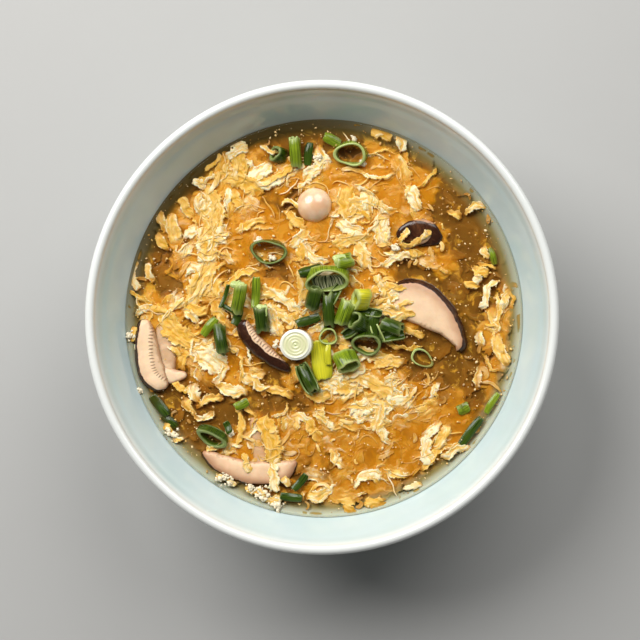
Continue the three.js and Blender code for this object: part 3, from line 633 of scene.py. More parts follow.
def egg_rise(x, y):
    """How far the egg stands up at a place, in millimetres."""
    return 0.45 * smooth_noise(x / 10, y / 10, 7) + 0.5 * deepest(x, y, BUSY) - 0.8 * deepest(x, y, CALM)


def curve_points(stations, steps):
    """Points along a smooth curve through the stations, with so many steps from one to the next."""
    stations = [np.array(station, float) for station in stations]
    padded = [stations[0], *stations, stations[-1]]
    points = []
    for before, start, end, after in zip(padded, padded[1:], padded[2:], padded[3:]):
        leave, arrive = (end - before) / 2, (after - start) / 2
        for step in range(steps):
            t = step / steps
            points.append(
                (2 * t**3 - 3 * t**2 + 1) * start + (t**3 - 2 * t**2 + t) * leave
                + (3 * t**2 - 2 * t**3) * end + (t**3 - t**2) * arrive
            )
    points.append(stations[-1])
    return np.array(points)


def turned(profile, sides):
    """A profile of [radius, height] turned into a closed round body."""
    bm = bmesh.new()
    corners = [bm.verts.new((radius, 0, height)) for radius, height in profile]
    edges = [bm.edges.new(pair) for pair in zip(corners, corners[1:])]
    bmesh.ops.spin(
        bm, geom=corners + edges, cent=(0, 0, 0), axis=(0, 0, 1),
        angle=2 * math.pi, steps=sides, use_merge=True,
    )
    bmesh.ops.remove_doubles(bm, verts=bm.verts, dist=1e-4)
    bmesh.ops.recalc_face_normals(bm, faces=bm.faces)
    return bm


def grid(rows, columns):
    """A flat strip, one long and two wide."""
    bm = bmesh.new()
    bmesh.ops.create_grid(
        bm, x_segments=rows, y_segments=columns, size=1, matrix=Matrix.Diagonal((0.5, 1, 1, 1))
    )
    return bm


def ball(subdivisions):
    """A round speck of radius a half."""
    bm = bmesh.new()
    bmesh.ops.create_icosphere(bm, subdivisions=subdivisions, radius=0.5)
    return bm


def row_of(bm, count):
    """So many copies of a shape in a row along +X, two apart."""
    made = 1
    while made < count:
        copies = bmesh.ops.duplicate(bm, geom=[*bm.verts, *bm.edges, *bm.faces])["geom"]
        corners = [item for item in copies if isinstance(item, bmesh.types.BMVert)]
        bmesh.ops.translate(bm, vec=(2 * made, 0, 0), verts=corners)
        made *= 2
    spare = [vert for vert in bm.verts if vert.co.x > 2 * count - 1]
    bmesh.ops.delete(bm, geom=spare, context="VERTS")
    return bm


def row_places(mesh):
    """For a mesh made by row_of: the number of each vertex's copy, and its place in that copy."""
    local = places(mesh)
    which = np.round(local[:, 0] / 2).astype(int)
    local[:, 0] -= 2 * which
    return which, local


def as_mesh(bm, name):
    mesh = bpy.data.meshes.new(name)
    bm.to_mesh(mesh)
    bm.free()
    return mesh


def places(mesh):
    """The mesh's vertices as an array of x, y and z."""
    flat = np.empty(len(mesh.vertices) * 3)
    mesh.vertices.foreach_get("co", flat)
    return flat.reshape(-1, 3)


def move_to(mesh, x, y, z):
    """Puts the vertices at places given in millimetres."""
    mesh.vertices.foreach_set("co", np.stack([x, y, z], axis=1).ravel() * MM)
    mesh.update()


def note(mesh, name, values):
    """Keeps a number, or three, for each vertex, for the material to read."""
    values = np.asarray(values, np.float32)
    kind = "FLOAT" if values.ndim == 1 else "FLOAT_VECTOR"
    field = "value" if values.ndim == 1 else "vector"
    mesh.attributes.new(name, kind, "POINT").data.foreach_set(field, values.ravel())


def piece(mesh, name, material, slot, *nodes):
    """A finished piece that rides on the part and stands for the nodes."""
    x, y, _ = (places(mesh) / MM).T
    note(mesh, "cover", egg_cover(x, y))
    note(mesh, "haze", deepest(x, y, BUSY))
    made = bpy.data.objects.new(name, mesh)
    bpy.context.scene.collection.objects.link(made)
    mesh.materials.append(material)
    mesh.shade_smooth()
    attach(made, "root")
    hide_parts(*nodes)
    return made


def thicken(made, millimetres, offset=0.0):
    solid = made.modifiers.new("thickness", "SOLIDIFY")
    solid.thickness = millimetres * MM
    solid.offset = offset


# ------------------------------------------------------------------ materials


class Wiring:
    """Adds nodes to a tree and joins them, so that a material reads as a list of steps."""

    def __init__(self, tree):
        self.tree = tree

    def feed(self, value, socket):
        if isinstance(value, bpy.types.NodeSocket):
            self.tree.links.new(value, socket)
        else:
            socket.default_value = value

    def add(self, kind, inputs=(), **settings):
        node = self.tree.nodes.new(kind)
        for name, value in settings.items():
            setattr(node, name, value)
        for name, value in dict(inputs).items():
            self.feed(value, node.inputs[name])
        return node

    def spot(self):
        return self.add("ShaderNodeTexCoord").outputs["Object"]

    def height(self):
        """Height above the foot, in metres."""
        return self.add("ShaderNodeSeparateXYZ", {"Vector": self.spot()}).outputs["Z"]

    def read(self, name, output="Fac"):
        return self.add("ShaderNodeAttribute", attribute_name=name).outputs[output]

    def scaled(self, vector, scale):
        return self.add("ShaderNodeMapping", {"Vector": vector, "Scale": scale}).outputs["Vector"]

    def noise(self, vector, texture):
        """One of the TEXTURES."""
        scale, detail, roughness, distortion = TEXTURES[texture]
        inputs = {"Vector": vector, "Scale": scale, "Detail": detail}
        inputs |= {"Roughness": roughness, "Distortion": distortion}
        return self.add("ShaderNodeTexNoise", inputs).outputs["Fac"]

    def dots(self, vector, scale):
        return self.add("ShaderNodeTexVoronoi", {"Vector": vector, "Scale": scale}).outputs["Distance"]

    def step(self, value, low, high):
        """0 below low, 1 above high, and the other way round where low is the greater."""
        start, end = (0.0, 1.0) if low < high else (1.0, 0.0)
        inputs = {"Value": value, "From Min": min(low, high), "From Max": max(low, high)}
        inputs |= {"To Min": start, "To Max": end}
        return self.add("ShaderNodeMapRange", inputs, interpolation_type="SMOOTHSTEP").outputs["Result"]

    def calc(self, operation, first, second=0.0):
        node = self.add("ShaderNodeMath", operation=operation)
        self.feed(first, node.inputs[0])
        self.feed(second, node.inputs[1])
        return node.outputs[0]

    def plus(self, first, second):
        return self.calc("ADD", first, second)

    def minus(self, first, second):
        return self.calc("SUBTRACT", first, second)

    def times(self, first, second):
        return self.calc("MULTIPLY", first, second)

    def mix(self, factor, first, second, blend="MIX"):
        node = self.add("ShaderNodeMix", data_type="RGBA", blend_type=blend)
        for number, value in ((0, factor), (6, first), (7, second)):
            self.feed(value, node.inputs[number])
        return node.outputs[2]

    def fade(self, base, colour, value, low, high):
        """Lays a colour over the base, more and more from where the value is low to where it is high."""
        return self.mix(self.step(value, low, high), base, colour)

    def bump(self, height, strength, millimetres):
        inputs = {"Height": height, "Strength": strength, "Distance": millimetres * MM}
        return self.add("ShaderNodeBump", inputs).outputs["Normal"]


def new_material(name):
    """A material with one Principled shader, and the wiring of its tree."""
    material = bpy.data.materials.new(name)
    material.use_nodes = True
    shader = material.node_tree.nodes["Principled BSDF"]
    return material, shader, Wiring(material.node_tree)


def finish(wiring, shader, **inputs):
    names = {"base": "Base Color", "coat": "Coat Weight", "specular": "Specular IOR Level"}
    names["subsurface"] = "Subsurface Weight"
    for name, value in inputs.items():
        wiring.feed(value, shader.inputs[names.get(name, name.replace("_", " ").title())])


def under_broth():
    """A node group that shows a colour and its shading as they look through the broth above."""
    name = "Under broth"
    if name in bpy.data.node_groups:
        return bpy.data.node_groups[name]
    broth = bpy.context.scene.soup_broth
    tree = bpy.data.node_groups.new(name, "ShaderNodeTree")
    for side in ("INPUT", "OUTPUT"):
        tree.interface.new_socket(name="Colour", in_out=side, socket_type="NodeSocketColor")
        tree.interface.new_socket(name="Normal", in_out=side, socket_type="NodeSocketVector")
    clear = tree.interface.new_socket(name="Clearness", in_out="INPUT", socket_type="NodeSocketFloat")
    clear.default_value = 1.0
    wiring = Wiring(tree)
    entry, leave = wiring.add("NodeGroupInput"), wiring.add("NodeGroupOutput")
    own = entry.outputs["Colour"]
    sunk = wiring.calc("MAXIMUM", wiring.minus(SOUP_LEVEL * MM, wiring.height()), 0.0)
    depth = wiring.calc("DIVIDE", wiring.calc("DIVIDE", sunk, broth.veil), entry.outputs["Clearness"])
    tinted = wiring.fade(own, wiring.mix(1.0, own, BROTH_TINT, "MULTIPLY"), depth, 0.0, 0.9)
    murk = wiring.minus(1.0, wiring.calc("POWER", 0.42, depth))
    wiring.feed(wiring.mix(murk, tinted, broth_colour(wiring, broth)), leave.inputs["Colour"])
    flat = wiring.mix(murk, entry.outputs["Normal"], (0, 0, 1, 1))
    flat = wiring.add("ShaderNodeVectorMath", {0: flat}, operation="NORMALIZE").outputs[0]
    wiring.feed(flat, leave.inputs["Normal"])
    return tree


def seen_through(wiring, base, normal, clearness=1.0):
    """The node that shows a colour and its shading through the broth."""
    node = wiring.add("ShaderNodeGroup", node_tree=under_broth())
    for name, value in (("Colour", base), ("Normal", normal), ("Clearness", clearness)):
        wiring.feed(value, node.inputs[name])
    return node


def broth_colour(wiring, broth):
    """The colour of the broth itself: brown where it is open and golden with egg in it."""
    flat = wiring.scaled(wiring.spot(), (1, 1, 0))
    cloud = wiring.minus(wiring.noise(flat, "cloud"), 0.5)
    thick = wiring.plus(wiring.read("cover"), wiring.times(cloud, 1.5))
    base = wiring.fade(broth.deep, broth.golden, thick, 0.0, 0.9)
    hollows = wiring.step(wiring.noise(flat, "hollow"), 0.50, 0.36)
    base = wiring.mix(wiring.times(hollows, 0.5), base, broth.deep)
    wisps = wiring.plus(wiring.noise(flat, "wisp"), wiring.times(thick, 0.10))
    wisps = wiring.plus(wisps, wiring.times(wiring.read("haze"), 0.16))
    return wiring.fade(base, broth.cloudy, wisps, 0.56, 0.70)


def sunk_finish(wiring, shader, base, normal, clearness, **inputs):
    """Finishes a material of a thing that lies in the broth."""
    node = seen_through(wiring, base, normal, clearness)
    finish(wiring, shader, base=node.outputs["Colour"], normal=node.outputs["Normal"], **inputs)


def glaze_material(bowl):
    """Celadon: green-blue where the glaze is deep, nearly white on the lip."""
    material, shader, wiring = new_material("celadon glaze")
    spot = wiring.spot()
    mottled = wiring.fade(bowl.glaze, bowl.pooled_glaze, wiring.noise(spot, "mottled glaze"), 0.35, 0.75)
    base = wiring.mix(0.25, bowl.glaze, mottled)
    specks = wiring.step(wiring.dots(spot, 900), 0.10, 0.04)
    base = wiring.mix(wiring.times(specks, 0.12), base, bowl.pooled_glaze)
    lip = [(BOWL_TOP.z - drop) * MM for drop in (4.2, 1.0)]
    base = wiring.fade(base, bowl.thin_glaze, wiring.height(), *lip)
    bump = wiring.bump(wiring.noise(spot, "wavy glaze"), 0.06, 0.5)
    wet = seen_through(wiring, base, bump, 2.2)
    base = wiring.mix(wiring.read("inner"), base, wet.outputs["Colour"])
    finish(wiring, shader, base=base, roughness=0.18, coat=0.5, coat_roughness=0.08, normal=bump)
    return material


def pleated(wiring):
    """The fine pleats of set egg, which run along each strand."""
    return wiring.noise(wiring.scaled(wiring.read("grain", "Vector"), PLEAT_STRETCH), "egg pleat")


def raft_finish(wiring, egg):
    """The colour and the normal of the egg in the broth: cream on the crests and golden between, with
    painted light on the crests and painted shade in the hollows.
    """
    # The clots and pleats both bump the surface and lighten the colour where they rise: painted light on
    # the crests and painted shade in the hollows, over the egg's own tones.
    clots = wiring.minus(wiring.noise(wiring.spot(), "egg clot"), 0.5)
    folds = wiring.times(wiring.minus(pleated(wiring), 0.5), wiring.read("crest"))
    tone = wiring.plus(wiring.read("tone"), wiring.times(clots, 0.4))
    tone = wiring.plus(tone, wiring.times(folds, 1.5))
    base = wiring.fade(egg.yolk, egg.cream, tone, 0.1, 0.7)
    base = wiring.fade(base, egg.white, tone, 0.62, 1.05)
    bump = wiring.bump(wiring.plus(wiring.times(clots, 0.4), folds), 0.4, 0.6)
    node = seen_through(wiring, base, bump)
    return node.outputs["Colour"], node.outputs["Normal"]


def broth_material(broth, egg):
    """Golden broth with egg in it, thin enough near the edge to show the bowl's wall."""
    material, shader, wiring = new_material("golden broth")
    base, normal = raft_finish(wiring, egg)
    edge, shade = wiring.read("edge"), wiring.read("shade")
    base = wiring.fade(base, wiring.mix(shade, broth.shallow, broth.shaded_shallow), edge, 0.1, 0.8)
    base = wiring.fade(base, wiring.mix(shade, broth.shore, broth.shaded_shore), edge, 0.65, 1.0)
    normal = wiring.mix(edge, normal, wiring.read("wall", "Vector"))
    finish(
        wiring, shader, base=base, normal=normal, roughness=0.3, specular=0.1,
        subsurface=0.6, subsurface_radius=BROTH_SCATTER, subsurface_scale=0.7 * MM,
    )
    return material


def surface_material():
    """The clear top of the broth, which only mirrors the light."""
    material, shader, wiring = new_material("broth surface")
    normal = wiring.bump(wiring.noise(wiring.spot(), "ripple"), 0.25, 1.0)
    mirror = wiring.add("ShaderNodeFresnel", {"IOR": 1.25, "Normal": normal}).outputs["Fac"]
    finish(wiring, shader, base=(1, 1, 1, 1), metallic=1.0, roughness=0.06, alpha=mirror, normal=normal)
    return material


def egg_material(egg):
    """Set egg: silky pleats, cream on their crests and golden where it is thin, the cream on the crests
    partly painted light.
    """
    material, shader, wiring = new_material("set egg")
    pleats = pleated(wiring)
    half_patches = wiring.times(wiring.noise(wiring.spot(), "egg patch"), 0.5)
    # The pleats and patches that bump the strips also lighten their colour where they rise: painted light
    # on the crests and painted shade between.
    tone = wiring.plus(wiring.times(pleats, 0.5), half_patches)
    tone = wiring.minus(tone, wiring.times(wiring.read("thin"), 0.12))
    base = wiring.fade(egg.yolk, egg.cream, tone, 0.24, 0.46)
    base = wiring.fade(base, egg.white, tone, 0.42, 0.62)
    bump = wiring.bump(wiring.plus(pleats, half_patches), 0.5, 0.6)
    sunk_finish(wiring, shader, base, bump, 1.0, roughness=0.36, specular=0.3)
    return material


def foam_material(egg):
    """Pale crumbly foam."""
    material, shader, wiring = new_material("foam")
    base = wiring.mix(wiring.noise(wiring.spot(), "foam patch"), egg.foam, egg.foam_shade)
    bump = wiring.bump(wiring.noise(wiring.spot(), "foam grain"), 0.1, 0.1)
    finish(wiring, shader, base=base, roughness=0.12, normal=bump)
    return material


def shiitake_flesh(wiring, mushroom, inward, waver, fibre):
    """Pale flesh, brightest in the middle of the cut and darker beside the skin and along its border,
    partly the flesh's own colour and partly painted light and shade.
    """
    flush = wiring.read("flush")
    # Brighter towards the middle of the cut, away from the skin: partly painted light.
    middle = wiring.times(wiring.step(inward, 1.5, 5.5), 0.75)
    bright = wiring.plus(middle, wiring.times(wiring.step(fibre, 0.35, 0.7), 0.3))
    pale = wiring.times(wiring.minus(0.7, flush), 1.4)
    base = wiring.mix(wiring.plus(bright, pale), mushroom.flesh, mushroom.heart)
    # Darker beside the skin and along the cut's border: the flesh's own blush deepened into painted shade.
    base = wiring.mix(wiring.times(wiring.step(inward, 3.4, 0.0), flush), base, mushroom.blush_and_shade)
    margin = wiring.plus(wiring.read("margin"), wiring.times(waver, 1.5))
    return wiring.mix(wiring.times(wiring.step(margin, 1.3, 0.2), 0.65), base, mushroom.blush_and_shade)


def shiitake_gills(wiring, mushroom, base, waver):
    """The flesh with its gills: brown stipple and dark slits, the slits painted shade between the gills.
    Gives the colour and the slits.
    """
    brim = wiring.step(wiring.read("brim"), 2.2, 0.5)
    stipple = wiring.times(brim, wiring.step(wiring.dots(wiring.spot(), 700), 0.45, 0.2))
    base = wiring.mix(wiring.times(stipple, 0.6), base, mushroom.gills)
    beyond = wiring.step(wiring.read("beyond"), -0.4, 0.4)
    base = wiring.mix(wiring.times(beyond, 0.35), base, mushroom.gills)
    # The dark slits are painted shade in the gaps between the gills; the bump also sinks them.
    away = wiring.calc("ABSOLUTE", wiring.plus(wiring.read("gills"), wiring.times(waver, 0.6)))
    run = wiring.plus(wiring.times(wiring.read("along"), 150.0), wiring.times(waver, 6.0))
    teeth = wiring.step(wiring.calc("SINE", run), -0.2, 0.8)
    slits = wiring.times(wiring.step(away, 1.1, 0.4), teeth)
    return wiring.mix(wiring.times(slits, 0.75), base, mushroom.slits), slits


def shiitake_material(mushroom):
    """A cut slice: pale flesh, a line of brown gills on some, and wet dark skin."""
    material, shader, wiring = new_material("shiitake")
    spot = wiring.spot()
    waver = wiring.minus(wiring.noise(spot, "flesh border"), 0.5)
    inward = wiring.plus(wiring.read("inward"), wiring.times(waver, 1.2))
    fibre = wiring.noise(spot, "flesh fibre")
    base = shiitake_flesh(wiring, mushroom, inward, waver, fibre)
    base, slits = shiitake_gills(wiring, mushroom, base, waver)
    skin = wiring.step(inward, 0.15, -0.15)
    rind = wiring.fade(mushroom.skin, mushroom.streaks, wiring.noise(spot, "skin streak"), 0.5, 0.85)
    base = wiring.mix(skin, base, rind)
    rough = wiring.minus(0.42, wiring.times(skin, 0.26))
    bump = wiring.bump(wiring.plus(fibre, slits), 0.3, 0.4)
    sunk_finish(
        wiring, shader, base, bump, 1.6, roughness=rough,
        subsurface=0.3, subsurface_radius=FLESH_SCATTER, subsurface_scale=1.2 * MM,
    )
    return material


def button_material(mushroom):
    """A smooth wet cap."""
    material, shader, wiring = new_material("button mushroom")
    spot = wiring.spot()
    patches = wiring.noise(spot, "button patch")
    base = wiring.fade(mushroom.button, mushroom.button_light, patches, 0.35, 0.7)
    bump = wiring.bump(wiring.noise(spot, "button grain"), 0.08, 0.3)
    sunk_finish(
        wiring, shader, base, bump, 1.3, roughness=0.3, coat=1.0, coat_roughness=0.12,
        subsurface=0.4, subsurface_radius=FLESH_SCATTER, subsurface_scale=1.5 * MM,
    )
    return material


def scallion_material(name, scallion, skin, inner, contrast=1.0, rim=0.85):
    """A leaf or stem: veined outside, paler within and at its cut edges. The contrast is that of
    the veins, and the rim is how clearly the cut edges show."""
    material, shader, wiring = new_material(name)
    veins = wiring.noise(wiring.scaled(wiring.read("grain", "Vector"), VEIN_STRETCH), "leaf vein")
    light = wiring.mix(min(contrast, 1.0), skin, LIGHT_VEIN, "MULTIPLY")
    dark = wiring.mix(min(contrast, 1.0), skin, DARK_VEIN, "MULTIPLY")
    base = wiring.fade(dark, light, veins, 0.36, 0.68)
    patches = wiring.noise(wiring.spot(), "leaf patch")
    base = wiring.fade(base, wiring.mix(0.4, base, light), patches, 0.35, 0.7)
    inner_vein = wiring.mix(min(0.6 * contrast, 1.0), inner, skin)
    base = wiring.mix(wiring.read("within"), base, wiring.fade(inner, inner_vein, veins, 0.4, 0.6))
    rings = wiring.step(wiring.calc("SINE", wiring.times(wiring.read("layer"), 9.0)), -0.4, 0.9)
    cut = wiring.mix(wiring.times(rings, 0.6), scallion.cut, wiring.mix(0.4, scallion.cut, skin))
    edge = wiring.step(wiring.read("edge"), 0.35, 0.8)
    base = wiring.mix(wiring.times(edge, rim), base, cut)
    bump = wiring.bump(veins, 0.35, 0.25)
    sunk_finish(
        wiring, shader, base, bump, 1.6, roughness=0.25, specular=0.2, coat=0.4, coat_roughness=0.05
    )
    return material


def round_material(scallion):
    """A cut round of the stem, with its rings."""
    material, shader, wiring = new_material("scallion round")
    waver = wiring.times(wiring.noise(wiring.spot(), "stem border"), 0.10)
    ring = wiring.plus(wiring.read("ring"), waver)
    stripes = wiring.calc("SINE", wiring.times(ring, 24.0))
    faint = wiring.times(wiring.step(stripes, -0.6, 1.0), 0.28)
    base = wiring.mix(faint, scallion.white, scallion.rings)
    base = wiring.fade(base, scallion.stem_skin, ring, 0.72, 0.98)
    base = wiring.fade(base, scallion.stem_heart, ring, 0.35, 0.0)
    bump = wiring.bump(stripes, 0.25, 0.25)
    sunk_finish(wiring, shader, base, bump, 1.2, roughness=0.25, coat=0.4, coat_roughness=0.1)
    return material


def floor_material(stage):
    material, shader, wiring = new_material("plain floor")
    darker = wiring.mix(1.0, stage.floor, DARK_FLOOR, "MULTIPLY")
    grain = wiring.noise(wiring.spot(), "floor grain")
    finish(wiring, shader, base=wiring.mix(grain, stage.floor, darker), roughness=0.7)
    return material


# ------------------------------------------------------------------ bowl


def bowl_profile(groove):
    """The bowl's whole section, from under the foot up over the lip and down to the floor."""
    bend = LIP_WIDTH / 2
    lip = [
        (LIP_MIDDLE[0] + bend * math.cos(angle), LIP_MIDDLE[1] + bend * math.sin(angle))
        for angle in np.linspace(0, math.pi, LIP_STEPS + 1)[1:-1]
    ]
    inner = curve_points(INNER_WALL, INNER_STEPS)[::-1]
    for point in inner:
        away = (point[1] - (BOWL_TOP.z - GROOVE_DROP)) / GROOVE_WIDTH
        point[0] += groove * math.exp(-(away**2))
    outer = curve_points(OUTER_WALL, OUTER_STEPS)[::-1]
    return [*FOOT[::-1], *outer, *lip, *inner]


class SOUP_OT_bowl(bpy.types.Operator):
    """Turns the celadon bowl"""

    bl_idname = "soup.bowl"
    bl_label = "Bowl"

    def execute(self, context):
        bowl = context.scene.soup_bowl
        bm = turned(bowl_profile(bowl.groove / MM), bowl.sides)
        bmesh.ops.scale(bm, vec=(MM, MM, MM), verts=bm.verts)
        mesh = as_mesh(bm, "glazed_bowl")
        x, y, z = (places(mesh) / MM).T
        wall = np.interp(z, [height for _, height in INNER_WALL], [radius for radius, _ in INNER_WALL])
        note(mesh, "inner", ease(np.hypot(x, y), wall + 1.2, wall + 0.6))
        piece(mesh, "glazed_bowl", glaze_material(bowl), "celadon_glaze", "bowl")
        return {"FINISHED"}


# ------------------------------------------------------------------ strands


def spread_round(rng, count):
    """Random places in a circle of radius 1, as their distance and their angle."""
    distance = np.sqrt(rng.uniform(0, 1, count))
    return distance, rng.uniform(0, 2 * np.pi, count)


def scattered(rng, count, stray, lengths, widths, lifts, bends):
    """Random strands in the drifts, in the terms of STRANDS, lying roughly along their drift."""
    drifts, tries = np.array(DRIFTS, float), 8 * count
    share = drifts[:, 2] * drifts[:, 3]
    chosen = drifts[rng.choice(len(drifts), tries, p=share / share.sum())]
    distance, around = spread_round(rng, tries)
    along = chosen[:, 2] * distance * np.cos(around) * stray
    across = chosen[:, 3] * distance * np.sin(around) * stray
    turn = np.radians(chosen[:, 4])
    x = chosen[:, 0] + along * np.cos(turn) - across * np.sin(turn)
    y = chosen[:, 1] + along * np.sin(turn) + across * np.cos(turn)
    room = egg_cover(x, y) - 0.35 * deepest(x, y, CALM)
    kept = (room > rng.uniform(0.1, 0.9, tries)) & (np.hypot(x, y) < SOUP_RADIUS - STRAND_MARGIN)
    x, y, lie = x[kept][:count], y[kept][:count], chosen[kept][:count, 4]
    lie = lie + 70 * smooth_noise(x / 14, y / 14, 8) + rng.uniform(-50, 50, len(x))
    bend = rng.uniform(-1, 1, len(x)) * bends
    lift = rng.uniform(*lifts, len(x)) + egg_rise(x, y)
    length, width = rng.uniform(*lengths, len(x)), rng.uniform(*widths, len(x))
    return np.stack([x, y, length, lie, bend, width, lift], axis=1)


def adrift(rng, count, lengths, widths, lifts):
    """Random strands all over the broth, in the terms of STRANDS, that sink where it is open."""
    distance, around = spread_round(rng, count)
    radius = (SOUP_RADIUS - STRAND_MARGIN) * distance
    lie, bend = rng.uniform(0, 360, count), rng.uniform(-200, 200, count)
    length, width, lift = (rng.uniform(*sizes, count) for sizes in (lengths, widths, lifts))
    x, y = radius * np.cos(around), radius * np.sin(around)
    lift = lift - 0.7 * (1 - egg_cover(x, y))
    return np.stack([x, y, length, lie, bend, width, lift], axis=1)


@functools.lru_cache(maxsize=None)
def all_strands():
    """Every strand of the raft, the lowest kind first and the listed ones last."""
    rng = np.random.default_rng(RAFT_SEED)
    kinds = {name: scattered(rng, **terms) for name, terms in RAFT_IN_DRIFTS.items()}
    kinds |= {name: adrift(rng, **terms) for name, terms in RAFT_ADRIFT.items()}
    return np.concatenate([*(kinds[name] for name in LAYERS), np.array(STRANDS, float)])


def own_noise(number):
    """Where in the noise a strand looks, so that no two are alike."""
    return STRAND_STEP * number % STRAND_CYCLE


def along_strand(x, y, strand):
    """How far along a bent strand each place is from its middle, and how far to its left."""
    middle_x, middle_y, length, lie, bend = strand[:5]
    turn = math.radians(lie)
    ahead = (x - middle_x) * math.cos(turn) + (y - middle_y) * math.sin(turn)
    left = (y - middle_y) * math.cos(turn) - (x - middle_x) * math.sin(turn)
    curve = math.radians(bend if abs(bend) > 2 else 2)
    radius, way = length / curve, math.copysign(1, curve)
    run = radius * np.arctan2(way * ahead, way * (radius - left))
    return run, radius - way * np.hypot(ahead, left - radius)


def press(x, y, ground, strand, number):
    """Lays one strand over the relief where it stands higher: torn and crumpled where it stands out
    of the broth, soft and domed where it is sunk."""
    _, _, length, _, _, width, lift = strand
    offset = own_noise(number)
    run, left = along_strand(x, y, strand)
    end, side = 2 * run / length, 2 * left / width
    torn = smooth_noise(run / 1.5 + offset, 5 * np.sign(left) + offset, 83)
    torn = torn + 0.6 * smooth_noise(run / 0.6 + offset, 5 * np.sign(left) + offset, 84)
    pleats = smooth_noise(left / 1.2 + offset, run / 4 + offset, 81)
    pleats = pleats + 0.8 * smooth_noise(left / 2.5 + offset, run / 2.5 + offset, 82)
    lean = 0.35 * math.sin(5 * number)
    stand = float(ease(lift, -0.8, 0.0))
    dome = lean * side + (0.75 * stand - 0.6) * side**2
    rise = lift + (0.35 + 0.65 * stand) * (dome + 0.34 * pleats) - 0.9 * np.abs(end) ** 3
    rise = np.minimum(rise, lift + 0.55)
    wins = (end**4 + side**2 < 1 + 0.42 * torn) & (rise > ground["height"])
    # The tone rises with the pleats and along the edges of standing strands: partly the egg's own
    # creaminess, partly painted light on crests and curled edges.
    shade = 0.62 + 0.26 * math.sin(3 * number) + 0.18 * pleats
    shade = shade + 0.22 * stand * ease(np.abs(side), 0.55, 0.95)
    body = stand + (1 - stand) * np.clip(1 - side**2, 0, 1) * np.clip(1 - end**4, 0, 1)
    shade = ground["tone"] + (shade - ground["tone"]) * body
    for name, value in (("height", rise), ("tone", shade), ("run", run), ("left", left)):
        ground[name][wins] = value[wins]
    ground["number"][wins] = offset
    ground["crest"][wins] = body[wins]


def relief(x, y, strands):
    """The egg's raft at each place: its height against the broth's surface in millimetres, how
    creamy it is, with painted light on its crests, and where on which strand it lies."""
    cover, rise = egg_cover(x, y), egg_rise(x, y)
    lumps = swayed(0, x, y, (1, 6, 41), (0.5, 2.6, 42))
    ground = {
        "height": -2.1 + cover * (1.4 + 0.3 * rise) + 0.3 * lumps,
        "tone": 0.25 * cover + 0.1 * lumps,
        "run": x.copy(), "left": y.copy(), "number": 0 * x, "crest": 0 * x,
    }
    x, y = (
        swayed(x, x, y, (0.8, 3.2, 71), (0.3, 1.2, 72)),
        swayed(y, x, y, (0.8, 3.2, 73), (0.3, 1.2, 74)),
    )
    for number, strand in enumerate(strands):
        reach = 0.6 * strand[2] + strand[5]
        near = np.flatnonzero((np.abs(x - strand[0]) < reach) & (np.abs(y - strand[1]) < reach))
        if len(near):
            part = {name: values[near] for name, values in ground.items()}
            press(x[near], y[near], part, strand, number)
            for name, values in part.items():
                ground[name][near] = values
    return ground


# ------------------------------------------------------------------ broth


